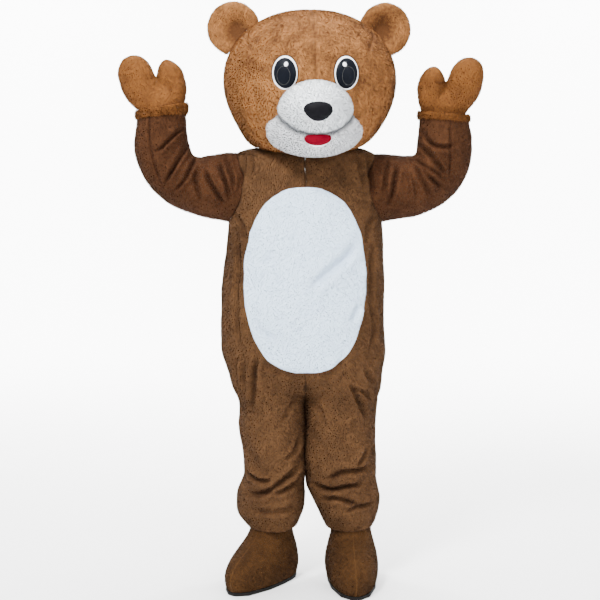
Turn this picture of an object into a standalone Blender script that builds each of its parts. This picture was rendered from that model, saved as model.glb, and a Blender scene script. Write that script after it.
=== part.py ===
"""A plush bear costume as worn: head, one-piece suit, mitts and boots, all thin hollow walls.

Heights in the tables are above the floor. Side -1 is the viewer's left, side 1 the right.
"""

import math
from collections import namedtuple

import bmesh
import bpy
from mathutils import Matrix, Vector

HOLD_HEIGHT = 1.42  # the wearer's shoulders, where the costume hangs
SEAM = 0.0003  # gap between two pieces sewn together
SUIT_WALL = 0.0025
HEAD_WALL = 0.008
MITT_WALL = 0.0025
BOOT_WALL = 0.003
PATCH_WALL = 0.0025
QUARTER_COLUMNS = 7
HEAD_COLUMNS = 12
RING_POINTS = 16  # around a sleeve; half of them meet each armhole half

ARMHOLE_MIDDLE = 1.3185
ARMHOLE_REACH = 0.1115
ARMHOLE_OPENING = 28.0  # degrees each way round the body from its side
CROTCH = 0.620
HEM_DRAWN = {-1: 0.0, 1: 0.042}  # how far the inside of each leg is drawn outward at its hem
HEM_DRAWN_FROM = 0.335
ZIP_BOTTOM = 0.88
ZIP_TOP = 1.36
ZIP_HALF_WIDTH = 0.0026
BELLY_MIDDLE = 1.0295
BELLY_HALF_HEIGHT = 0.2985
BELLY_HALF_WIDTH = 0.194

HEAD_CENTRE_X = 0.015
HEAD_TURN = 4.0  # degrees, toward the viewer's right

# place: along the surface; inner: inner edge of the leg's ring, negative where it passes the middle
SuitRow = namedtuple("SuitRow", "place height left right front back inner square")
SUIT = [
    SuitRow(0.180, 0.180, 0.188, 0.228, 0.092, 0.094, 0.0280, 2.0),
    SuitRow(0.198, 0.198, 0.204, 0.238, 0.096, 0.100, 0.0180, 2.0),
    SuitRow(0.235, 0.235, 0.232, 0.250, 0.124, 0.120, 0.0060, 2.0),
    SuitRow(0.290, 0.290, 0.231, 0.253, 0.122, 0.122, 0.0016, 2.0),
    SuitRow(0.330, 0.330, 0.212, 0.242, 0.112, 0.118, 0.0012, 2.0),
    SuitRow(0.370, 0.370, 0.202, 0.240, 0.116, 0.122, 0.0020, 2.0),
    SuitRow(0.438, 0.438, 0.211, 0.239, 0.122, 0.128, 0.0012, 2.0),
    SuitRow(0.541, 0.541, 0.224, 0.233, 0.134, 0.138, 0.0010, 2.05),
    SuitRow(0.600, 0.600, 0.221, 0.242, 0.143, 0.146, 0.0009, 2.1),
    SuitRow(0.620, 0.620, 0.226, 0.246, 0.147, 0.149, 0.0008, 2.1),
    SuitRow(0.628, 0.628, 0.229, 0.246, 0.149, 0.150, -0.0020, 2.1),
    SuitRow(0.644, 0.644, 0.235, 0.248, 0.153, 0.154, -0.0110, 2.1),
    SuitRow(0.665, 0.665, 0.241, 0.251, 0.158, 0.158, -0.0360, 2.1),
    SuitRow(0.712, 0.712, 0.253, 0.258, 0.168, 0.168, -0.1200, 2.2),
    SuitRow(0.770, 0.770, 0.268, 0.262, 0.178, 0.172, -0.2250, 2.3),
    SuitRow(0.814, 0.814, 0.277, 0.261, 0.182, 0.173, -0.2700, 2.3),
    SuitRow(0.915, 0.915, 0.279, 0.263, 0.188, 0.172, -0.2790, 2.4),
    SuitRow(1.015, 1.015, 0.272, 0.259, 0.184, 0.168, -0.2720, 2.4),
    SuitRow(1.115, 1.115, 0.259, 0.256, 0.174, 0.164, -0.2590, 2.4),
    SuitRow(1.207, 1.207, 0.253, 0.254, 0.165, 0.162, -0.2530, 2.5),
    SuitRow(1.300, 1.300, 0.245, 0.250, 0.156, 0.158, -0.2450, 2.5),
    SuitRow(1.380, 1.383, 0.236, 0.244, 0.143, 0.146, -0.2360, 2.4),
    SuitRow(1.430, 1.432, 0.220, 0.230, 0.124, 0.126, -0.2200, 2.3),
    SuitRow(1.465, 1.444, 0.192, 0.203, 0.113, 0.115, -0.1920, 2.2),
    SuitRow(1.500, 1.448, 0.156, 0.164, 0.104, 0.106, -0.1560, 2.1),
    SuitRow(1.535, 1.449, 0.120, 0.124, 0.098, 0.099, -0.1200, 2.0),
    SuitRow(1.560, 1.456, 0.102, 0.104, 0.095, 0.096, -0.1020, 2.0),
    SuitRow(1.600, 1.492, 0.099, 0.099, 0.094, 0.094, -0.0990, 2.0),
]

LEG_PLACES = [
    0.180, 0.203, 0.230, 0.258, 0.284, 0.308, 0.332, 0.358, 0.392, 0.430, 0.475, 0.525, 0.575, 0.605,
]
BODY_PLACES = [0.620, 0.628, 0.642, 0.665, 0.695, 0.730, 0.775, 0.825, 0.88, 0.94, 1.00, 1.06, 1.115, 1.165]
SHOULDER_PLACES = [1.465, 1.500, 1.545, 1.600]

# side, face -1 front or 1 back, angle from the outer side, place, lean from level, then sizes
Fold = namedtuple("Fold", "side face angle place lean length width depth")
FOLDS = [
    # stacked folds on the hips
    Fold(-1, -1, 12, 0.790, -16, 0.090, 0.020, 0.0154),
    Fold(-1, -1, 10, 0.742, -24, 0.080, 0.017, 0.0119),
    Fold(-1, -1, 16, 0.690, -34, 0.095, 0.016, 0.0112),
    Fold(1, -1, 12, 0.770, 18, 0.080, 0.019, 0.0126),
    Fold(1, -1, 14, 0.715, 30, 0.095, 0.017, 0.0133),
    Fold(1, -1, 10, 0.655, 22, 0.075, 0.016, 0.0112),
    Fold(-1, 1, 14, 0.765, 18, 0.085, 0.019, 0.0133),
    Fold(1, 1, 16, 0.735, -22, 0.090, 0.018, 0.0126),
    # folds that hang beside the belly patch
    Fold(-1, -1, 34, 0.985, 82, 0.120, 0.018, 0.0112),
    Fold(-1, -1, 20, 1.120, 74, 0.085, 0.014, 0.0084),
    Fold(1, -1, 33, 0.955, -80, 0.110, 0.017, 0.0105),
    Fold(1, -1, 17, 1.090, -72, 0.090, 0.015, 0.0091),
    # pulls across the chest from the armholes
    Fold(-1, -1, 52, 1.290, 30, 0.055, 0.012, 0.0070),
    Fold(1, -1, 52, 1.300, -34, 0.055, 0.012, 0.0070),
    # bunched legs above the boots
    Fold(-1, -1, 95, 0.430, 32, 0.085, 0.021, 0.0154),
    Fold(-1, -1, 70, 0.352, 20, 0.090, 0.018, 0.0168),
    Fold(-1, -1, 112, 0.292, 12, 0.080, 0.016, 0.0154),
    Fold(-1, -1, 50, 0.520, 44, 0.080, 0.020, 0.0098),
    Fold(1, -1, 75, 0.455, -30, 0.090, 0.020, 0.0140),
    Fold(1, -1, 100, 0.368, -24, 0.090, 0.018, 0.0168),
    Fold(1, -1, 62, 0.300, -14, 0.085, 0.016, 0.0154),
    Fold(1, -1, 118, 0.540, -40, 0.080, 0.019, 0.0098),
    Fold(-1, 1, 90, 0.455, -20, 0.090, 0.020, 0.0133),
    Fold(-1, 1, 75, 0.345, 14, 0.090, 0.018, 0.0154),
    Fold(-1, 1, 105, 0.285, -8, 0.080, 0.016, 0.0126),
    Fold(1, 1, 85, 0.430, 24, 0.090, 0.020, 0.0140),
    Fold(1, 1, 100, 0.350, -12, 0.090, 0.018, 0.0147),
    Fold(1, 1, 70, 0.280, 10, 0.080, 0.016, 0.0126),
    # a slack seat and back
    Fold(-1, 1, 60, 0.830, -28, 0.100, 0.022, 0.0126),
    Fold(1, 1, 58, 0.860, 24, 0.100, 0.022, 0.0126),
    Fold(-1, 1, 30, 1.060, 66, 0.100, 0.018, 0.0098),
    Fold(1, 1, 34, 1.030, -62, 0.100, 0.018, 0.0105),
    Fold(-1, 1, 55, 1.230, 36, 0.060, 0.014, 0.0077),
    Fold(1, 1, 52, 1.250, -30, 0.060, 0.014, 0.0077),
]

# across: ring radius in the arm's bend; deep: front to back; lean: of the arm from level; forward: y
SleeveRow = namedtuple("SleeveRow", "out height across deep lean forward")
SLEEVES = {
    -1: [
        SleeveRow(0.240, 1.3240, 0.1120, 0.116, 0, 0.000),
        SleeveRow(0.285, 1.3230, 0.1080, 0.110, 0, 0.002),
        SleeveRow(0.335, 1.3250, 0.0990, 0.103, 5, 0.008),
        SleeveRow(0.380, 1.3360, 0.0920, 0.100, 25, 0.016),
        SleeveRow(0.416, 1.3570, 0.0900, 0.098, 45, 0.026),
        SleeveRow(0.444, 1.3910, 0.0900, 0.098, 67, 0.036),
        SleeveRow(0.459, 1.4320, 0.0900, 0.095, 82, 0.045),
        SleeveRow(0.464, 1.4790, 0.0870, 0.090, 88, 0.052),
        SleeveRow(0.463, 1.5280, 0.0830, 0.085, 85, 0.058),
        SleeveRow(0.460, 1.5800, 0.0800, 0.080, 81, 0.062),
    ],
    1: [
        SleeveRow(0.246, 1.3240, 0.1120, 0.116, 0, 0.000),
        SleeveRow(0.288, 1.3240, 0.1090, 0.111, 2, 0.002),
        SleeveRow(0.334, 1.3240, 0.1010, 0.104, 8, 0.008),
        SleeveRow(0.378, 1.3370, 0.0970, 0.101, 27, 0.016),
        SleeveRow(0.414, 1.3600, 0.0930, 0.099, 48, 0.026),
        SleeveRow(0.440, 1.3960, 0.0910, 0.097, 70, 0.036),
        SleeveRow(0.450, 1.4360, 0.0900, 0.094, 84, 0.046),
        SleeveRow(0.450, 1.4790, 0.0870, 0.089, 90, 0.054),
        SleeveRow(0.448, 1.5200, 0.0830, 0.084, 88, 0.060),
        SleeveRow(0.446, 1.5590, 0.0790, 0.079, 85, 0.064),
    ],
}
SLEEVE_PLACES = [0, 0.55, 1.1, 1.65, 2.2, 2.75, 3.3, 3.85, 4.4, 4.95, 5.5, 6.1, 6.7, 7.3, 7.9, 8.45, 9]

# angle round the sleeve, from its outer edge by the front; place along it
SleeveFold = namedtuple("SleeveFold", "side angle place lean length width depth")
SLEEVE_FOLDS = [
    SleeveFold(-1, 80, 1.1, 64, 0.075, 0.013, 0.0091),
    SleeveFold(-1, 130, 2.1, 48, 0.075, 0.014, 0.0104),
    SleeveFold(-1, 110, 3.6, 22, 0.085, 0.013, 0.0117),
    SleeveFold(-1, 75, 5.3, -20, 0.085, 0.013, 0.0104),
    SleeveFold(-1, 120, 6.6, 26, 0.070, 0.012, 0.0078),
    SleeveFold(-1, 240, 2.4, 30, 0.080, 0.014, 0.0091),
    SleeveFold(-1, 265, 4.4, -24, 0.085, 0.014, 0.0104),
    SleeveFold(-1, 230, 6.2, 18, 0.075, 0.012, 0.0078),
    SleeveFold(1, 82, 1.2, -60, 0.075, 0.013, 0.0091),
    SleeveFold(1, 125, 2.2, -44, 0.080, 0.014, 0.0104),
    SleeveFold(1, 105, 3.8, -18, 0.085, 0.013, 0.0111),
    SleeveFold(1, 80, 5.6, 24, 0.080, 0.013, 0.0097),
    SleeveFold(1, 115, 7.0, -22, 0.070, 0.012, 0.0072),
    SleeveFold(1, 245, 2.0, -34, 0.080, 0.014, 0.0091),
    SleeveFold(1, 270, 4.0, 20, 0.085, 0.014, 0.0104),
    SleeveFold(1, 235, 6.0, -20, 0.075, 0.012, 0.0078),
]

HeadRow = namedtuple("HeadRow", "height wide front back chin")
HEAD = [
    HeadRow(1.4660, 0.1260, 0.1240, 0.1240, 0.000),
    HeadRow(1.4512, 0.1400, 0.1420, 0.1400, 0.010),
    HeadRow(1.4517, 0.1640, 0.1700, 0.1640, 0.024),
    HeadRow(1.4680, 0.1930, 0.2000, 0.1920, 0.030),
    HeadRow(1.4900, 0.2130, 0.2170, 0.2090, 0.028),
    HeadRow(1.5200, 0.2330, 0.2310, 0.2250, 0.022),
    HeadRow(1.5560, 0.2540, 0.2420, 0.2380, 0.014),
    HeadRow(1.5960, 0.2710, 0.2490, 0.2460, 0.007),
    HeadRow(1.6360, 0.2800, 0.2520, 0.2500, 0.002),
    HeadRow(1.6760, 0.2820, 0.2510, 0.2510, 0.000),
    HeadRow(1.7160, 0.2770, 0.2460, 0.2470, 0.000),
    HeadRow(1.7550, 0.2620, 0.2350, 0.2370, 0.000),
    HeadRow(1.7920, 0.2380, 0.2160, 0.2180, 0.000),
    HeadRow(1.8260, 0.2050, 0.1890, 0.1900, 0.000),
    HeadRow(1.8550, 0.1620, 0.1520, 0.1520, 0.000),
    HeadRow(1.8800, 0.0980, 0.0930, 0.0930, 0.000),
    HeadRow(1.8930, 0.0000, 0.0000, 0.0000, 0.000),
]

# edges of the mitt's face: out is away from the body, in toward the head; up from the wrist
MittRow = namedtuple("MittRow", "out out_up inn inn_up depth split")
PALM = [
    MittRow(0.062, 0.000, -0.062, 0.000, 0.060, 0.00),
    MittRow(0.070, 0.022, -0.068, 0.022, 0.062, 0.00),
    MittRow(0.089, 0.042, -0.078, 0.043, 0.056, 0.00),
    MittRow(0.105, 0.064, -0.084, 0.066, 0.052, 0.15),
    MittRow(0.115, 0.088, -0.086, 0.090, 0.048, 0.50),
    MittRow(0.121, 0.112, -0.085, 0.112, 0.043, 1.00),
]
FINGERS = [
    MittRow(0.126, 0.140, 0.012, 0.142, 0.041, 0.0),
    MittRow(0.122, 0.168, 0.021, 0.170, 0.035, 0.0),
    MittRow(0.105, 0.192, 0.041, 0.192, 0.024, 0.0),
    MittRow(0.074, 0.204, 0.074, 0.204, 0.000, 0.0),
]
THUMB = [
    MittRow(-0.002, 0.140, -0.080, 0.138, 0.036, 0.0),
    MittRow(-0.010, 0.164, -0.064, 0.162, 0.027, 0.0),
    MittRow(-0.036, 0.186, -0.036, 0.186, 0.000, 0.0),
]
MITT_CROTCH = (0.004, 0.118)
MITT_TUCK = 0.028  # how far the wrist runs inside the sleeve
MITT_COLUMNS = 10
FINGER_COLUMNS = 6

BootRow = namedtuple("BootRow", "height wide front back")
BOOT = [
    BootRow(0.0110, 0.0800, 0.2300, 0.0850),
    BootRow(0.0340, 0.0880, 0.2420, 0.0920),
    BootRow(0.0640, 0.0890, 0.2400, 0.0940),
    BootRow(0.0930, 0.0850, 0.2160, 0.0910),
    BootRow(0.1170, 0.0790, 0.1700, 0.0860),
    BootRow(0.1420, 0.0720, 0.1160, 0.0790),
    BootRow(0.1700, 0.0660, 0.0780, 0.0690),
    BootRow(0.2150, 0.0640, 0.0660, 0.0650),
]
BOOT_COLUMNS = 10
HAND_NOD = {-1: 4.0, 1: 27.0}  # degrees, forward
HAND_LEAN = {-1: -6.0, 1: 4.0}  # degrees, toward the head
# from the middle of the sleeve's end, so that the wrist rests on the sleeve
HAND_REST = {-1: Vector((-0.0011, -0.0003, -0.0017)), 1: Vector((0.0, 0.004, 0.012))}

Placed = namedtuple("Placed", "x y turn")
BOOTS = {-1: Placed(-0.1125, 0.0010, -33.0), 1: Placed(0.1565, -0.0028, 2.0)}


def eased(table, column, place):
    """The column's value at a place between rows, smooth and without overshoot."""
    places = [row[0] for row in table] if isinstance(table[0], SuitRow) else list(range(len(table)))
    values = [getattr(row, column) for row in table]
    if place <= places[0]:
        return values[0]
    if place >= places[-1]:
        return values[-1]
    low = max(i for i in range(len(places) - 1) if places[i] <= place)
    steps = [places[i + 1] - places[i] for i in range(len(places) - 1)]
    slopes = [(values[i + 1] - values[i]) / steps[i] for i in range(len(steps))]

    def tangent(i):
        if i == 0:
            return slopes[0]
        if i == len(slopes):
            return slopes[-1]
        if slopes[i - 1] * slopes[i] <= 0:
            return 0.0
        return 2 * slopes[i - 1] * slopes[i] / (slopes[i - 1] + slopes[i])

    step = steps[low]
    t = (place - places[low]) / step
    return (
        (2 * t**3 - 3 * t**2 + 1) * values[low]
        + (t**3 - 2 * t**2 + t) * step * tangent(low)
        + (-2 * t**3 + 3 * t**2) * values[low + 1]
        + (t**3 - t**2) * step * tangent(low + 1)
    )


def eased_step(value):
    """0 below 0, 1 above 1, smooth between."""
    value = min(max(value, 0.0), 1.0)
    return value * value * (3 - 2 * value)


def ridge(along, across, fold):
    """Height of one fold: a rounded ridge with a crease under it."""
    window = math.exp(-((along / fold.length) ** 2))
    crest = math.exp(-((across / fold.width) ** 2))
    crease = 0.55 * math.exp(-(((across + 1.7 * fold.width) / fold.width) ** 2))
    return fold.depth * window * (crest - crease)


def folds_on_suit(side, angle, place):
    """Sum of the folds at a point of the suit, outward."""
    girth = 0.105 + 0.105 * eased_step((place - 0.54) / 0.18)
    total = 0.0
    for fold in FOLDS:
        if fold.side != side:
            continue
        away = math.radians(angle - fold.face * fold.angle) * girth
        up = place - fold.place
        if abs(away) > 0.3 or abs(up) > 0.3:
            continue
        lean = math.radians(fold.lean)
        along = away * math.cos(lean) + up * math.sin(lean)
        across = -away * math.sin(lean) + up * math.cos(lean)
        total += ridge(along, across, fold)
    return total


def suit_point(side, angle, place):
    """A point on the suit. The angle is 0 at the outer side, -90 in front and 90 behind."""
    outer = eased(SUIT, "left" if side < 0 else "right", place)
    inner = max(eased(SUIT, "inner", place), -outer)
    inner += HEM_DRAWN[side] * eased_step((HEM_DRAWN_FROM - place) / 0.12)
    height = eased(SUIT, "height", place)
    square = eased(SUIT, "square", place)
    middle = (outer + inner) / 2
    wide = (outer - inner) / 2
    turn = math.radians(angle)
    deep = eased(SUIT, "front" if math.sin(turn) < 0 else "back", place)
    reach = abs(math.cos(turn) / wide) ** square + abs(math.sin(turn) / deep) ** square
    reach = reach ** (-1 / square)
    x = middle + reach * math.cos(turn)
    fade = 1 - (1 - eased_step(abs(x) / 0.05)) * eased_step((place - CROTCH + 0.05) / 0.08)
    fade *= eased_step((place - 0.17) / 0.04) * (1 - eased_step((place - 1.40) / 0.05))
    reach += fade * folds_on_suit(side, angle, place)
    return Vector((side * (middle + reach * math.cos(turn)), reach * math.sin(turn), height))


def first_angle(side, face, place):
    """Where a quarter panel starts: at the middle of the body, or inside the leg."""
    if eased(SUIT, "inner", place) >= 0:
        return face * 180.0
    low, high = 180.0, 90.0
    for _ in range(40):
        half = (low + high) / 2
        if side * suit_point(side, face * half, place).x > 0:
            high = half
        else:
            low = half
    return face * high


def last_angle(face, place):
    """Where a quarter panel ends: at the side seam, or at the armhole."""
    height = (place - ARMHOLE_MIDDLE) / ARMHOLE_REACH
    if abs(height) >= 1:
        return 0.0
    return face * ARMHOLE_OPENING * math.sqrt(1 - height * height)


def armhole_places():
    steps = RING_POINTS // 2
    return [
        ARMHOLE_MIDDLE - ARMHOLE_REACH * math.cos(math.pi * i / steps) for i in range(steps + 1)
    ]


def across_surface(surface, first, second, step_a, step_b, sign):
    """Outward unit normal of a surface of two numbers."""
    one = surface(first + step_a, second) - surface(first - step_a, second)
    two = surface(first, second + step_b) - surface(first, second - step_b)
    return (one.cross(two) * sign).normalized()


def plush(name, colour, roughness=0.9):
    """A plain material in one colour."""
    material = bpy.data.materials.get(name) or bpy.data.materials.new(name)
    material.use_nodes = True
    shader = material.node_tree.nodes["Principled BSDF"]
    shader.inputs["Base Color"].default_value = (*colour, 1)
    shader.inputs["Roughness"].default_value = roughness
    material.diffuse_color = (*colour, 1)
    return material


BROWN = (0.21, 0.085, 0.033)
LIGHT_BROWN = (0.32, 0.14, 0.055)
BOOT_BROWN = (0.15, 0.065, 0.026)
WHITE = (0.80, 0.82, 0.86)


def add_object(name, bm, material, owner, collection):
    """Closes up a bmesh, faces it outward and puts it in the scene under its owner."""
    bmesh.ops.remove_doubles(bm, verts=bm.verts, dist=1e-6)
    bmesh.ops.dissolve_degenerate(bm, edges=bm.edges, dist=1e-6)
    bmesh.ops.recalc_face_normals(bm, faces=bm.faces)
    mesh = bpy.data.meshes.new(name)
    bm.to_mesh(mesh)
    bm.free()
    if material:
        mesh.materials.append(material)
    piece = bpy.data.objects.new(name, mesh)
    collection.objects.link(piece)
    piece.parent = owner
    return piece


def split_quad(bm, low, high, j, k, flipped):
    """Two triangles between two rows. Pieces that lie on each other share the diagonal."""
    if flipped:
        bm.faces.new((low[j], low[k], high[j]))
        bm.faces.new((low[k], high[k], high[j]))
    else:
        bm.faces.new((low[j], low[k], high[k]))
        bm.faces.new((low[j], high[k], high[j]))


def wall_between(outer, inner, wrap=False, flipped=0):
    """A closed solid between two grids of points. Wrap joins the last column to the first."""
    bm = bmesh.new()
    rows, columns = len(outer), len(outer[0])
    skins = [[[bm.verts.new(p) for p in row] for row in grid] for grid in (outer, inner)]
    last = columns if wrap else columns - 1
    for skin in skins:
        for low, high in zip(skin, skin[1:]):
            for j in range(last):
                split_quad(bm, low, high, j, (j + 1) % columns, j < flipped)
    for i in (0, rows - 1):
        for j in range(last):
            k = (j + 1) % columns
            bm.faces.new((skins[0][i][j], skins[0][i][k], skins[1][i][k], skins[1][i][j]))
    if not wrap:
        for j in (0, columns - 1):
            for i in range(rows - 1):
                bm.faces.new((skins[0][i][j], skins[0][i + 1][j], skins[1][i + 1][j], skins[1][i][j]))
    return bm


def zip_gap(face, place):
    """Half of the gap at the middle of the back, opened for the zip's teeth."""
    if face > 0 and ZIP_BOTTOM - 1e-6 <= place <= ZIP_TOP + 1e-6:
        return ZIP_HALF_WIDTH + SEAM + 0.0001
    return SEAM / 2


def quarter_places(face):
    places = LEG_PLACES + BODY_PLACES + armhole_places() + SHOULDER_PLACES
    if face > 0:
        places = sorted(places + [ZIP_TOP, ZIP_TOP + 0.008, ZIP_BOTTOM - 0.010])
    return places


def quarter_panel(name, side, face, material, owner, collection):
    """One front or back of the suit, from the ankle to the neck."""

    def surface(angle, place):
        return suit_point(side, angle, place)

    outer, inner = [], []
    for place in quarter_places(face):
        start, end = first_angle(side, face, place), last_angle(face, place)
        leg = eased(SUIT, "inner", place) >= 0
        row_out, row_in = [], []
        for j in range(QUARTER_COLUMNS + 1):
            angle = start + (end - start) * j / QUARTER_COLUMNS
            point = surface(angle, place)
            normal = across_surface(surface, angle, place, 0.4, 0.002, side)
            pair = [point, point - normal * SUIT_WALL]
            least = SEAM / 2 + SUIT_WALL * max(0.0, -side * normal.x)
            pair[1].x = side * max(side * pair[1].x, least)
            for p in pair:
                if (j == 0 and leg) or (j == QUARTER_COLUMNS and end == 0.0):
                    p.y += face * SEAM / 2
                if j == 0 and not leg:
                    p.x = side * max(side * p.x, zip_gap(face, place))
                p.x = side * max(side * p.x, SEAM / 2)
            row_out.append(pair[0])
            row_in.append(pair[1])
        outer.append(row_out)
        inner.append(row_in)
    bm = wall_between(outer, inner)
    return add_object(name, bm, material, owner, collection)


def sleeve_ring(side, turn, place):
    """A point on the sleeve's plain tube. Turn 0 is the outer edge, 90 the front."""
    rows = SLEEVES[side]
    out = eased(rows, "out", place)
    lean = math.radians(eased(rows, "lean", place))
    across = -math.cos(math.radians(turn)) * eased(rows, "across", place)
    deep = -math.sin(math.radians(turn)) * eased(rows, "deep", place)
    x = out - math.sin(lean) * across
    z = eased(rows, "height", place) + math.cos(lean) * across
    return Vector((side * x, deep - eased(rows, "forward", place), z))


def sleeve_point(side, turn, place):
    """A point on the sleeve, which starts as the armhole's edge."""
    turn = turn % 360
    face = -1 if turn <= 180 else 1
    edge_place = ARMHOLE_MIDDLE - ARMHOLE_REACH * math.cos(math.radians(turn))
    edge = suit_point(side, last_angle(face, edge_place), edge_place)
    edge.x += side * (SEAM + 0.0001)
    share = eased_step((place + 0.05) / 1.9) if place > 0 else 0.0
    # Before its start the tube goes on straight, for the normals there.
    tube = sleeve_ring(side, turn, max(place, 0))
    point = edge.lerp(tube, share)
    if place < 0:
        point.x += side * 0.045 * place
    lift = 0.0
    for fold in SLEEVE_FOLDS:
        if fold.side != side:
            continue
        away = math.radians(turn - fold.angle) * 0.095
        on = (place - fold.place) * 0.045
        lean = math.radians(fold.lean)
        along = away * math.cos(lean) + on * math.sin(lean)
        across_fold = -away * math.sin(lean) + on * math.cos(lean)
        lift += ridge(along, across_fold, fold)
    lift *= eased_step(place / 0.8) * (1 - eased_step((place - 7.6) / 0.8))
    centre = Vector((
        side * eased(SLEEVES[side], "out", max(place, 0)),
        -eased(SLEEVES[side], "forward", max(place, 0)),
        eased(SLEEVES[side], "height", max(place, 0)),
    ))
    return point + (point - centre).normalized() * lift


def tube_rows(side, places, lift, wall):
    """Outer and inner rings along a sleeve, moved out by the lift."""

    def surface(turn, place):
        return sleeve_point(side, turn, place)

    outer, inner = [], []
    for place in places:
        row_out, row_in = [], []
        for k in range(RING_POINTS):
            turn = 360 * k / RING_POINTS
            edge = place == 0
            centre = Vector((surface(0, place) + surface(180, place)) / 2)
            point = surface(turn, place)
            normal = across_surface(surface, turn, max(place, 0.04), 0.8, 0.04, 1)
            if normal.dot(point - centre) < 0:
                normal.negate()
            if edge:
                normal = Vector((0, point.y, point.z - centre.z)).normalized()
            row_out.append(point + normal * lift(place))
            row_in.append(point + normal * (lift(place) - wall))
        outer.append(row_out)
        inner.append(row_in)
    return outer, inner


def head_point(side, angle, place):
    """A point on the head, in the head's own frame."""
    front = math.sin(math.radians(angle)) < 0
    wide = max(eased(HEAD, "wide", place), 1e-5)
    deep = max(eased(HEAD, "front" if front else "back", place), 1e-5)
    turn = math.radians(angle)
    square = 2.15
    reach = (abs(math.cos(turn) / wide) ** square + abs(math.sin(turn) / deep) ** square) ** (-1 / square)
    drop = eased(HEAD, "chin", place) * math.sin(turn) ** 2 * (1.0 if front else 0.45)
    height = eased(HEAD, "height", place) - drop
    shift = -HEAD_CENTRE_X * (1 - eased_step(place / 6))
    return Vector((side * reach * math.cos(turn) + shift, reach * math.sin(turn), height))


def head_grid(side, angles, grow):
    """Rows of points on the head and the unit normals there."""

    def surface(angle, place):
        return head_point(side, angle, place)

    points, normals = [], []
    top = len(HEAD) - 1
    for place in range(len(HEAD)):
        row, ups = [], []
        for angle in angles:
            point = surface(angle, place)
            if place == top:
                normal = Vector((0, 0, 1))
            else:
                normal = across_surface(surface, angle, max(place, 0.03), 0.5, 0.03, side)
            row.append(point + normal * grow)
            ups.append(normal)
        points.append(row)
        normals.append(ups)
    return points, normals


def half_angles():
    return [-90 + 180 * j / HEAD_COLUMNS for j in range(HEAD_COLUMNS + 1)]


def head_half(name, side, material, owner, collection):
    """Half of the head's shell, open at the neck."""
    points, normals = head_grid(side, half_angles(), 0.0)
    inner = [[p - n * HEAD_WALL for p, n in zip(a, b)] for a, b in zip(points, normals)]
    for grid in (points, inner):
        for place, row in enumerate(grid):
            middle = -HEAD_CENTRE_X * (1 - eased_step(place / 6))
            for j, p in enumerate(row):
                if j in (0, HEAD_COLUMNS) or place == len(HEAD) - 1:
                    p.x = middle + side * SEAM / 2
                elif side * (p.x - middle) < SEAM / 2:
                    p.x = middle + side * SEAM / 2
    bm = wall_between(points, inner)
    return add_object(name, bm, material, owner, collection)


def head_form(owner, collection):
    """The head as one closed body a seam's gap larger: what lies on the head is cut by it."""
    right, _ = head_grid(1, half_angles(), SEAM)
    left, _ = head_grid(-1, half_angles(), SEAM)
    bm = bmesh.new()
    rings = []
    for a, b in zip(right, left):
        ring = a + b[::-1][1:-1]
        rings.append([bm.verts.new(p) for p in ring])
    count = len(rings[0])
    for low, high in zip(rings, rings[1:]):
        for j in range(count):
            split_quad(bm, low, high, j, (j + 1) % count, j >= HEAD_COLUMNS)
    bm.faces.new(rings[0][::-1])
    return add_object("head_form", bm, None, owner, collection)


# centre and radii in the head's frame; bend: how far the ends wrap back round the head
Dome = namedtuple("Dome", "x y z wide deep high bend_x bend_z turn")
EYE = Dome(0.0945, -0.2360, 1.676, 0.041, 0.0150, 0.0540, 1.9, 2.1, 17.0)
MUZZLE = Dome(0.0, -0.2350, 1.566, 0.119, 0.1120, 0.0900, 2.2, 0.0, 0.0)
JAW = Dome(0.0, -0.2060, 1.510, 0.157, 0.0920, 0.0890, 1.9, 0.0, 0.0)
TONGUE = Dome(0.002, -0.2640, 1.481, 0.041, 0.0310, 0.0260, 1.0, 0.0, 0.0)
NOSE = Dome(0.0, -0.3370, 1.559, 0.045, 0.0210, 0.0310, 2.0, 0.0, 0.0)

# Half sizes of the black plate and of the white dot on each eye.
PUPIL_WIDE = 0.0355
PUPIL_TALL = 0.0463
GLINT_WIDE = 0.0062
GLINT_TALL = 0.0075


def dome_mesh(dome, side, grow, across=18, rings=8, taper=0.0, back=1.0):
    """A bmesh of a padded dome, wrapped round the head. Taper widens its top; back ends it flat."""
    bm = bmesh.new()
    bmesh.ops.create_uvsphere(bm, u_segments=across, v_segments=rings, radius=1.0)
    bmesh.ops.rotate(bm, verts=bm.verts, cent=(0, 0, 0), matrix=Matrix.Rotation(math.radians(90), 3, "X"))
    if back < 1:
        parts = bm.verts[:] + bm.edges[:] + bm.faces[:]
        bmesh.ops.bisect_plane(bm, geom=parts, plane_co=(0, back, 0), plane_no=(0, 1, 0), clear_outer=True)
        bmesh.ops.holes_fill(bm, edges=[edge for edge in bm.edges if edge.is_boundary])
    turn = Matrix.Rotation(math.radians(side * dome.turn), 3, "Z")
    for vert in bm.verts:
        x, y, z = vert.co
        x *= 1 + taper * z
        p = Vector((x * (dome.wide + grow), y * (dome.deep + grow), z * (dome.high + grow)))
        p.y += dome.bend_x * p.x**2 + dome.bend_z * p.z**2
        vert.co = turn @ p + Vector((side * dome.x, dome.y, dome.z))
    return bm


def oval_prism(centre, wide, high, turn, lean, count=28):
    """A bmesh of an oval bar that runs forward from the middle of an eye's dome."""
    bm = bmesh.new()
    bmesh.ops.create_cone(
        bm, cap_ends=True, segments=count, radius1=1.0, radius2=1.0, depth=0.05,
        matrix=Matrix.Translation((0, -0.0265, 0)) @ Matrix.Rotation(math.radians(90), 4, "X"),
    )
    spin = Matrix.Rotation(math.radians(turn), 3, "Z") @ Matrix.Rotation(math.radians(lean), 3, "Y")
    for vert in bm.verts:
        vert.co = spin @ Vector((vert.co.x * wide, vert.co.y, vert.co.z * high)) + Vector(centre)
    return bm


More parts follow.
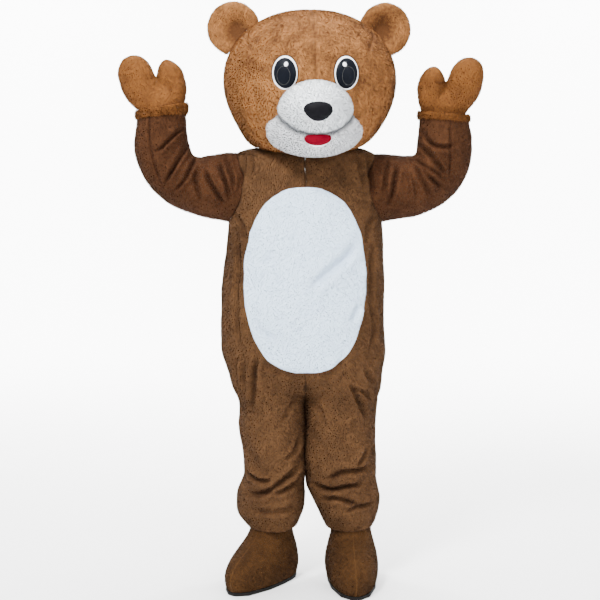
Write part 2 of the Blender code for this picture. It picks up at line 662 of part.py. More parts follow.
def cut(piece, *forms, keep=False):
    """Cuts a piece by forms, or keeps only what lies inside them."""
    for form in forms:
        modifier = piece.modifiers.new("cut_by_" + form.name, "BOOLEAN")
        modifier.operation = "INTERSECT" if keep else "DIFFERENCE"
        modifier.solver = "EXACT"
        modifier.object = form


def ear_half(name, side, face, material, owner, collection):
    """One face of a stuffed ear: a dished front or a full back."""
    bm = bmesh.new()
    bmesh.ops.create_uvsphere(bm, u_segments=18, v_segments=10, radius=1.0)
    bmesh.ops.rotate(bm, verts=bm.verts, cent=(0, 0, 0), matrix=Matrix.Rotation(math.radians(90), 3, "X"))
    cuts = bm.verts[:] + bm.edges[:] + bm.faces[:]
    bmesh.ops.bisect_plane(bm, geom=cuts, plane_co=(0, 0, 0), plane_no=(0, -face, 0), clear_outer=True)
    rim = [edge for edge in bm.edges if edge.is_boundary]
    bmesh.ops.holes_fill(bm, edges=rim)
    turn = Matrix.Rotation(math.radians(side * 8), 3, "Z")
    for vert in bm.verts:
        x, y, z = vert.co
        across = min(x * x + z * z, 1.0)
        y = y * 0.030 + face * SEAM / 2
        if face < 0:
            y += 0.024 * (1 - across) ** 1.5
        flat = Vector((x * 0.088, y, z * 0.088))
        vert.co = turn @ flat + Vector((side * 0.2465, 0.004, 1.832))
    return add_object(name, bm, material, owner, collection)


def belly_patch(material, owner, collection, cutters):
    """The white oval: a layer over both fronts, cut to its outline."""
    outer, inner = [], []
    places = [p for p in quarter_places(-1) if 0.66 < p < 1.42]
    for place in places:
        row_out, row_in = [], []
        for side, columns in ((-1, range(QUARTER_COLUMNS, -1, -1)), (1, range(1, QUARTER_COLUMNS + 1))):

            def surface(angle, at, side=side):
                return suit_point(side, angle, at)

            start, end = first_angle(side, -1, place), last_angle(-1, place)
            for j in columns:
                angle = start + (end - start) * j / QUARTER_COLUMNS
                point = surface(angle, place)
                normal = across_surface(surface, angle, place, 0.4, 0.002, side)
                if j == 0:
                    point.x, normal.x = 0.0, 0.0
                    normal.normalize()
                row_out.append(point + normal * (SEAM + PATCH_WALL))
                row_in.append(point + normal * SEAM)
        outer.append(row_out)
        inner.append(row_in)
    solid = wall_between(outer, inner, flipped=QUARTER_COLUMNS)
    patch = add_object("belly", solid, material, owner, collection)
    outline = bmesh.new()
    bmesh.ops.create_cone(
        outline, cap_ends=True, segments=48, radius1=1.0, radius2=1.0, depth=0.4,
        matrix=Matrix.Rotation(math.radians(90), 4, "X"),
    )
    for vert in outline.verts:
        x, y, z = vert.co
        size = (abs(x) ** 2.35 + abs(z) ** 2.35) ** (-1 / 2.35)
        height = z * size * BELLY_HALF_HEIGHT + BELLY_MIDDLE
        vert.co = Vector((x * size * BELLY_HALF_WIDTH, y - 0.2, height))
    cut(patch, add_object("belly_outline", outline, None, owner, cutters), keep=True)
    return patch


def mitt_row(row, columns, whole=False):
    """Points across one row of a mitt's face. Whole rows part into fingers and thumb."""
    points = []
    a, b = Vector((row.out, row.out_up)), Vector((row.inn, row.inn_up))
    for j in range(columns + 1):
        share = j / columns
        flat = a.lerp(b, (1 - math.cos(math.pi * share)) / 2)
        rise = math.sin(math.pi * share)
        if row.split and whole:
            meet = FINGER_COLUMNS / MITT_COLUMNS
            on_fingers = j <= FINGER_COLUMNS
            part = share / meet if on_fingers else (share - meet) / (1 - meet)
            split = abs(math.sin(math.pi * part)) * (1.0 if on_fingers else 0.85)
            rise = rise + (split - rise) * row.split
            if row.split == 1:
                valley = Vector(MITT_CROTCH)
                ends = (a, valley) if on_fingers else (valley, b)
                flat = ends[0].lerp(ends[1], (1 - math.cos(math.pi * part)) / 2)
        points.append(Vector((flat.x, -row.depth * max(rise, 0.0) ** 0.8, flat.y)))
    return points


def mitt_face(name, side, face, wall, material, owner, collection):
    """One face of a mitt, as a thin shell from edge to edge."""
    bm = bmesh.new()
    faces = []
    palm = [mitt_row(row, MITT_COLUMNS, True) for row in PALM]
    fingers = [palm[-1][: FINGER_COLUMNS + 1]]
    fingers += [mitt_row(row, FINGER_COLUMNS) for row in FINGERS]
    thumb = [palm[-1][FINGER_COLUMNS:]]
    thumb += [mitt_row(row, MITT_COLUMNS - FINGER_COLUMNS) for row in THUMB]
    for grid in (palm, fingers, thumb):
        verts = [[bm.verts.new(p) for p in row] for row in grid]
        for low, high in zip(verts, verts[1:]):
            for j in range(len(low) - 1):
                faces.append(bm.faces.new((low[j], low[j + 1], high[j + 1], high[j])))
    mirrored = bmesh.ops.duplicate(bm, geom=bm.verts[:] + bm.edges[:] + bm.faces[:])
    copies = [item for item in mirrored["geom"] if isinstance(item, bmesh.types.BMVert)]
    bmesh.ops.scale(bm, vec=(1, -1, 1), verts=copies)
    bmesh.ops.remove_doubles(bm, verts=bm.verts, dist=1e-5)
    bmesh.ops.dissolve_degenerate(bm, edges=bm.edges, dist=1e-6)
    bmesh.ops.recalc_face_normals(bm, faces=bm.faces)
    bm.normal_update()
    centre = Vector((0, 0, 0.06))
    sample = max(bm.verts, key=lambda v: -v.co.y)
    sign = 1 if sample.normal.dot(sample.co - centre) > 0 else -1
    bm.verts.index_update()
    out_points = [v.co.copy() for v in bm.verts]
    in_points = [v.co - v.normal * sign * wall for v in bm.verts]
    kept = [f for f in bm.faces if f.calc_center_median().y * face > 0]
    shell = bmesh.new()
    used = sorted({v.index for f in kept for v in f.verts})
    skins = []
    for source in (out_points, in_points):
        skin = {}
        for i in used:
            p = source[i].copy()
            on_seam = abs(out_points[i].y) < 1e-5
            p.y = face * SEAM / 2 if on_seam else face * max(face * p.y, SEAM / 2)
            skin[i] = shell.verts.new((p.x * side, p.y, p.z - MITT_TUCK))
        skins.append(skin)
    uses = {}
    for f in kept:
        ids = [v.index for v in f.verts]
        for skin in skins:
            shell.faces.new([skin[i] for i in ids])
        for i, j in zip(ids, ids[1:] + ids[:1]):
            uses.setdefault(frozenset((i, j)), []).append((i, j))
    for pairs in uses.values():
        if len(pairs) == 1:
            i, j = pairs[0]
            shell.faces.new((skins[0][i], skins[0][j], skins[1][j], skins[1][i]))
    bm.free()
    return add_object(name, shell, material, owner, collection)


def boot_point(side, angle, place):
    """A point on the boot in its own frame, toe toward -y."""
    turn = math.radians(angle)
    front = math.sin(turn) < 0
    wide = eased(BOOT, "wide", place)
    deep = eased(BOOT, "front" if front else "back", place)
    square = 2.3 if front else 2.05
    reach = (abs(math.cos(turn) / wide) ** square + abs(math.sin(turn) / deep) ** square) ** (-1 / square)
    return Vector((side * reach * math.cos(turn), reach * math.sin(turn), eased(BOOT, "height", place)))


def boot_angles():
    """Angles that space the points evenly along the long foot."""
    angles = []
    for j in range(BOOT_COLUMNS + 1):
        angle = -90 + 180 * j / BOOT_COLUMNS
        squeeze = 24 * math.sin(math.radians(2 * angle))
        angles.append(angle + (squeeze if angle < 0 else squeeze * 0.2))
    return angles


def boot_half(name, side, material, owner, collection):
    """One side of a boot cover, from the sole to the top of its shaft."""

    def surface(angle, place):
        return boot_point(side, angle, place)

    outer, inner = [], []
    for place in range(len(BOOT)):
        row_out, row_in = [], []
        for j, angle in enumerate(boot_angles()):
            point = surface(angle, place)
            normal = across_surface(surface, angle, max(place, 0.03), 0.5, 0.03, side)
            pair = [point, point - normal * BOOT_WALL]
            if place == 0:
                pair[1].z = point.z
            for p in pair:
                if j in (0, BOOT_COLUMNS):
                    p.x = side * SEAM / 2
                p.x = side * max(side * p.x, SEAM / 2)
            row_out.append(pair[0])
            row_in.append(pair[1])
        outer.append(row_out)
        inner.append(row_in)
    return add_object(name, wall_between(outer, inner), material, owner, collection)


def sole(name, material, owner, collection):
    """A thin sole under the boot, a little wider than the plush."""
    bm = bmesh.new()
    ring = [boot_point(1, a, 0) for a in boot_angles()]
    ring += [boot_point(-1, a, 0) for a in boot_angles()[::-1][1:-1]]
    ring = [Vector((p.x * 1.03, p.y * 1.012, 0.0)) for p in ring]
    base = bm.faces.new([bm.verts.new(p) for p in ring])
    raised = bmesh.ops.extrude_face_region(bm, geom=[base])
    top = [item for item in raised["geom"] if isinstance(item, bmesh.types.BMVert)]
    bmesh.ops.translate(bm, verts=top, vec=(0, 0, BOOT[0].height - SEAM))
    return add_object(name, bm, material, owner, collection)


def zip_chain(material, owner, collection):
    """The closed teeth between the two backs, one strip."""
    outer, inner = [], []
    for place in quarter_places(1):
        if not ZIP_BOTTOM - 1e-6 <= place <= ZIP_TOP + 1e-6:
            continue
        row_out, row_in = [], []
        for side in (-1, 1):

            def surface(angle, at, side=side):
                return suit_point(side, angle, at)

            point = surface(90, place)
            normal = across_surface(surface, 90, place, 0.4, 0.002, side)
            normal.x = 0
            normal.normalize()
            point.x = side * ZIP_HALF_WIDTH
            row_out.append(point + normal * 0.0004)
            row_in.append(point - normal * SUIT_WALL)
        outer.append(row_out)
        inner.append(row_in)
    return add_object("zip_chain", wall_between(outer, inner), material, owner, collection)


def box(bm, low, high):
    """Adds a box between two corners to a bmesh and returns its points."""
    made = bmesh.ops.create_cube(bm, size=1.0)["verts"]
    size = [b - a for a, b in zip(low, high)]
    middle = [(a + b) / 2 for a, b in zip(low, high)]
    bmesh.ops.scale(bm, vec=size, verts=made)
    bmesh.ops.translate(bm, vec=middle, verts=made)
    return made


def zip_frame(owner):
    """An empty on the back at the top of the zip: z up the chain, y away from it."""
    low, high = suit_point(1, 90, ZIP_TOP - 0.030), suit_point(1, 90, ZIP_TOP)
    here = suit_point(1, 90, ZIP_TOP - 0.012)
    lean = math.atan2(low.y - high.y, high.z - low.z)
    empty = bpy.data.objects.new("zip_top", None)
    empty.location = (0, here.y, here.z)
    empty.rotation_euler = (lean, 0, 0)
    return empty


def joined(piece, *forms):
    """Adds forms to a piece, so that it stays one body."""
    for form in forms:
        modifier = piece.modifiers.new("with_" + form.name, "BOOLEAN")
        modifier.operation = "UNION"
        modifier.solver = "EXACT"
        modifier.object = form


def zip_slider(material, owner, collection, cutters):
    """A slider: a plate over the teeth with two lugs that carry the tab."""
    bm = bmesh.new()
    box(bm, (-0.0046, 0.0009, -0.0080), (0.0046, 0.0030, 0.0070))
    bmesh.ops.bevel(
        bm, geom=bm.edges[:], affect="EDGES", offset=0.0006, segments=1, profile=0.5, material=-1
    )
    piece = add_object("zip_slider", bm, material, owner, collection)
    for side, word in ((-1, "left"), (1, "right")):
        lug = bmesh.new()
        edges = sorted((side * 0.0034, side * 0.0045))
        box(lug, (edges[0], 0.0020, -0.0017), (edges[1], 0.0063, 0.0017))
        joined(piece, add_object("slider_lug_" + word, lug, None, owner, cutters))


def zip_pull(material, owner, collection, cutters):
    """The tab: a barrel between the slider's lugs, and a flat tongue with a rounded end."""
    bm = bmesh.new()
    box(bm, (-0.0029, 0.0041, -0.0300), (0.0029, 0.0055, -0.0002))
    corners = [
        edge for edge in bm.edges
        if abs(edge.verts[0].co.y - edge.verts[1].co.y) > 1e-4 and edge.verts[0].co.z < -0.02
    ]
    bmesh.ops.bevel(
        bm, geom=corners, affect="EDGES", offset=0.0020, segments=3, profile=0.5, material=-1
    )
    piece = add_object("zip_pull", bm, material, owner, collection)
    barrel = bmesh.new()
    bmesh.ops.create_cone(
        barrel, cap_ends=True, segments=12, radius1=0.0013, radius2=0.0013, depth=0.0062,
        matrix=Matrix.Translation((0, 0.0048, 0)) @ Matrix.Rotation(math.radians(90), 4, "Y"),
    )
    joined(piece, add_object("pull_barrel", barrel, None, owner, cutters))


def head_pieces(owner, collection, cutters):
    """The head, its ears and its face."""
    light = plush("head_plush", LIGHT_BROWN)
    white = plush("white_plush", WHITE)
    black = plush("nose_satin", (0.012, 0.012, 0.014), 0.5)
    plate = plush("eye_white", (0.85, 0.86, 0.88), 0.3)
    dark = plush("eye_black", (0.006, 0.007, 0.014), 0.2)
    red = plush("mouth_felt", (0.42, 0.012, 0.02))
    form = head_form(owner, cutters)
    for side, word in ((-1, "left"), (1, "right")):
        head_half("head_" + word, side, light, owner, collection)
        cut(ear_half("ear_front_" + word, side, -1, light, owner, collection), form)
        cut(ear_half("ear_back_" + word, side, 1, light, owner, collection), form)
    muzzle = add_object("muzzle", dome_mesh(MUZZLE, 1, 0, 22, 12), white, owner, collection)
    muzzle_form = add_object("muzzle_form", dome_mesh(MUZZLE, 1, 0.0004, 22, 12), None, owner, cutters)
    tongue = add_object("tongue", dome_mesh(TONGUE, 1, 0, 16, 8), red, owner, collection)
    tongue_form = add_object("tongue_form", dome_mesh(TONGUE, 1, 0.0004, 16, 8), None, owner, cutters)
    jaw = add_object("jaw", dome_mesh(JAW, 1, 0, 24, 10, back=0.5), white, owner, collection)
    nose = add_object("nose", dome_mesh(NOSE, 1, 0, 16, 8, taper=0.22), black, owner, collection)
    cut(muzzle, form)
    cut(tongue, muzzle_form)
    cut(jaw, form, muzzle_form, tongue_form)
    cut(nose, muzzle_form)
    for side, word in ((-1, "left"), (1, "right")):
        white_form = add_object("eye_form_" + word, dome_mesh(EYE, side, 0.0003), None, owner, cutters)
        pupil_form = add_object("pupil_form_" + word, dome_mesh(EYE, side, 0.0019), None, owner, cutters)
        turn = side * EYE.turn
        middle = (side * (EYE.x - 0.0015), EYE.y, EYE.z)
        disc_mesh = oval_prism(middle, PUPIL_WIDE, PUPIL_TALL, turn, side * 4)
        disc = add_object("pupil_disc_" + word, disc_mesh, None, owner, cutters)
        spot = (side * EYE.x - 0.002 + (0.009 if side < 0 else -0.009), EYE.y, EYE.z + 0.026)
        dot_mesh = oval_prism(spot, GLINT_WIDE, GLINT_TALL, turn, 20, 14)
        dot = add_object("glint_disc_" + word, dot_mesh, None, owner, cutters)
        eye = add_object("eye_white_" + word, dome_mesh(EYE, side, 0), plate, owner, collection)
        cut(eye, form)
        pupil = add_object("pupil_" + word, dome_mesh(EYE, side, 0.0016), dark, owner, collection)
        cut(pupil, disc, keep=True)
        cut(pupil, white_form, form)
        glint = add_object("glint_" + word, dome_mesh(EYE, side, 0.0027), plate, owner, collection)
        cut(glint, dot, keep=True)
        cut(glint, pupil_form)


def suit_pieces(owner, collection, cutters):
    """The one-piece suit with its belly patch, sleeves and zip."""
    brown = plush("suit_plush", BROWN)
    light = plush("cuff_plush", LIGHT_BROWN)
    teeth = plush("zip_nylon", (0.10, 0.045, 0.02), 0.5)
    metal = plush("zip_metal", (0.35, 0.24, 0.13), 0.35)
    for side, word in ((-1, "left"), (1, "right")):
        quarter_panel("front_" + word, side, -1, brown, owner, collection)
        quarter_panel("back_" + word, side, 1, brown, owner, collection)
        outer, inner = tube_rows(side, SLEEVE_PLACES, lambda place: 0.0, SUIT_WALL)
        add_object("sleeve_" + word, wall_between(outer, inner, wrap=True), brown, owner, collection)
        band = [8.42, 8.70, 9.0]
        raised = {8.42: 0.0040, 8.70: 0.0074, 9.0: 0.0050}
        outer, _ = tube_rows(side, band, lambda place, raised=raised: raised[place], 0.0)
        inner, _ = tube_rows(side, band, lambda place: 0.0006, 0.0)
        add_object("cuff_" + word, wall_between(outer, inner, wrap=True), light, owner, collection)
    belly_patch(plush("white_plush", WHITE), owner, collection, cutters)
    zip_chain(teeth, owner, collection)
    top = zip_frame(owner)
    collection.objects.link(top)
    top.parent = owner
    zip_slider(metal, top, collection, cutters)
    zip_pull(metal, top, collection, cutters)


def limb_ends(owner, collection):
    """The mitts and the boots, each pair built in its own frame and placed."""
    light = plush("mitt_plush", LIGHT_BROWN)
    dark = plush("boot_plush", BOOT_BROWN)
    rubber = plush("sole_rubber", (0.02, 0.02, 0.02), 0.7)
    for side, word in ((-1, "left"), (1, "right")):
        rows = SLEEVES[side]
        hand = bpy.data.objects.new("hand_" + word, None)
        hand.location = Vector((side * rows[-1].out, -rows[-1].forward, rows[-1].height)) + HAND_REST[side]
        hand.rotation_euler = (math.radians(HAND_NOD[side]), -side * math.radians(HAND_LEAN[side]), 0)
        collection.objects.link(hand)
        hand.parent = owner
        mitt_face("mitt_palm_" + word, side, -1, MITT_WALL, light, hand, collection)
        mitt_face("mitt_back_" + word, side, 1, MITT_WALL, light, hand, collection)
        foot = bpy.data.objects.new("foot_" + word, None)
        placed = BOOTS[side]
        foot.location = (placed.x, placed.y, 0)
        foot.rotation_euler = (0, 0, math.radians(placed.turn))
        collection.objects.link(foot)
        foot.parent = owner
        boot_half("boot_outer_" + word, side, dark, foot, collection)
        boot_half("boot_inner_" + word, -side, dark, foot, collection)
        sole("sole_" + word, rubber, foot, collection)


def main():
    for item in list(bpy.data.objects):
        bpy.data.objects.remove(item)
    scene = bpy.context.scene.collection
    costume = bpy.data.collections.new("bear_costume")
    cutters = bpy.data.collections.new("cutters")
    scene.children.link(costume)
    scene.children.link(cutters)
    cutters.hide_render = True
    origin = bpy.data.objects.new("hold_point", None)
    costume.objects.link(origin)
    floor = bpy.data.objects.new("floor_frame", None)
    floor.location = (0, 0, -HOLD_HEIGHT)
    floor.parent = origin
    costume.objects.link(floor)
    head = bpy.data.objects.new("head_frame", None)
    head.location = (HEAD_CENTRE_X, 0, 0)
    head.rotation_euler = (0, 0, math.radians(HEAD_TURN))
    head.parent = floor
    costume.objects.link(head)
    suit_pieces(floor, costume, cutters)
    head_pieces(head, costume, cutters)
    limb_ends(floor, costume)
    for form in cutters.objects:
        form.hide_render = True
        form.display_type = "WIRE"


main()
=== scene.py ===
"""Dresses the bear costume: rounded plush over each cut piece, pile, face, zip and a plain studio."""

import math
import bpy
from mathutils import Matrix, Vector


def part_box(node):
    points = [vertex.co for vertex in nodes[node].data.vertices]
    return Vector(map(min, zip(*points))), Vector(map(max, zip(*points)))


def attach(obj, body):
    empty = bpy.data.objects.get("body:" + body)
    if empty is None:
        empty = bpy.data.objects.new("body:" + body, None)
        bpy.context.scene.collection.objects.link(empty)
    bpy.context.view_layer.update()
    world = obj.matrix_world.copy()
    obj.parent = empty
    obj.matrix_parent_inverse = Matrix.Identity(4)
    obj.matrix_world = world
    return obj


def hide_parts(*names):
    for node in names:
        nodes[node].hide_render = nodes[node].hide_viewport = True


bl_info = {
    "name": "Plush Bear Costume",
    "version": (1, 0, 0),
    "blender": (4, 5, 0),
    "location": "3D View > Sidebar > Costume",
    "description": "Plush, pile, face, zip and studio for a worn bear costume",
    "category": "Add Mesh",
}

from collections import namedtuple

import bmesh
import bpy
import numpy as np
from bpy.props import FloatProperty, FloatVectorProperty, PointerProperty
from mathutils import Matrix, Vector, noise as perlin
from mathutils.bvhtree import BVHTree

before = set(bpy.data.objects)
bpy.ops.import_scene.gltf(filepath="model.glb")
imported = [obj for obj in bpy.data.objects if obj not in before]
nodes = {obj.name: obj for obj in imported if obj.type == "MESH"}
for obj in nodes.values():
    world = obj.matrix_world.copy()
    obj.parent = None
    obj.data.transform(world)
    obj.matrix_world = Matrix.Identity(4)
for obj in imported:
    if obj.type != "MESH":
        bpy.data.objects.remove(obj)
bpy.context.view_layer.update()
FLOOR = -1.42
NOISE_SEED = 12

# held: how the cloth hangs; wide and long: its flat piece; area: what is cut from that
Cloth = namedtuple("Cloth", "node finish wide long area held rests_on")
SUIT_CLOTH = [
    Cloth("front_left", "suit", 0.47, 1.38, 0.463, "hung", "back_left"),
    Cloth("front_right", "suit", 0.47, 1.38, 0.465, "hung", "back_right"),
    Cloth("back_left", "suit", 0.47, 1.38, 0.459, "hung", "front_left"),
    Cloth("back_right", "suit", 0.47, 1.38, 0.462, "hung", "front_right"),
    Cloth("sleeve_left", "sleeve", 0.62, 0.54, 0.267, "hung", "front_left"),
    Cloth("sleeve_right", "sleeve", 0.62, 0.52, 0.251, "hung", "front_right"),
    Cloth("cuff_left", "cuff", 0.50, 0.040, 0.0181, "stretched", "sleeve_left"),
    Cloth("cuff_right", "cuff", 0.48, 0.034, 0.0140, "stretched", "sleeve_right"),
    Cloth("belly", "belly", 0.40, 0.62, 0.200, "laid", "front_left"),
]
MITT_CLOTH = [
    Cloth(f"mitt_{face}_{side}", "mitt", 0.27, 0.29, 0.0476, "stretched", f"mitt_{other}_{side}")
    for side in ("left", "right")
    for face, other in (("palm", "back"), ("back", "palm"))
]
BOOT_CLOTH = [
    Cloth(f"boot_{face}_{side}", "boot", 0.37, 0.29, 0.073, "stretched", "sole_" + side)
    for side in ("left", "right")
    for face in ("outer", "inner")
]
HEAD_CLOTH = [
    Cloth("head_left", "head", 0.78, 0.84, 0.412, "stretched", "head_right"),
    Cloth("head_right", "head", 0.78, 0.84, 0.420, "stretched", "head_left"),
]
EARS = ["ear_front_left", "ear_back_left", "ear_front_right", "ear_back_right"]

# pile: hairs a square metre, how long and wide, how far they lie over, how much they clump and stray
Pile = namedtuple("Pile", "density length width lean clump stray")
PILES = {
    "suit": Pile(160000, 0.0056, 0.0016, 1.30, 0.35, 0.50),
    "sleeve": Pile(160000, 0.0056, 0.0016, 1.30, 0.35, 0.50),
    "head": Pile(160000, 0.0062, 0.0016, 1.10, 0.50, 0.55),
    "cuff": Pile(300000, 0.0070, 0.0017, 0.50, 0.8, 0.70),
    "mitt": Pile(170000, 0.0052, 0.0016, 1.10, 0.35, 0.50),
    "boot": Pile(160000, 0.0052, 0.0016, 1.25, 0.35, 0.50),
    "belly": Pile(170000, 0.0046, 0.0016, 0.80, 0.35, 0.80),
    "shag": Pile(380000, 0.0062, 0.0016, 0.60, 0.35, 0.95),
}

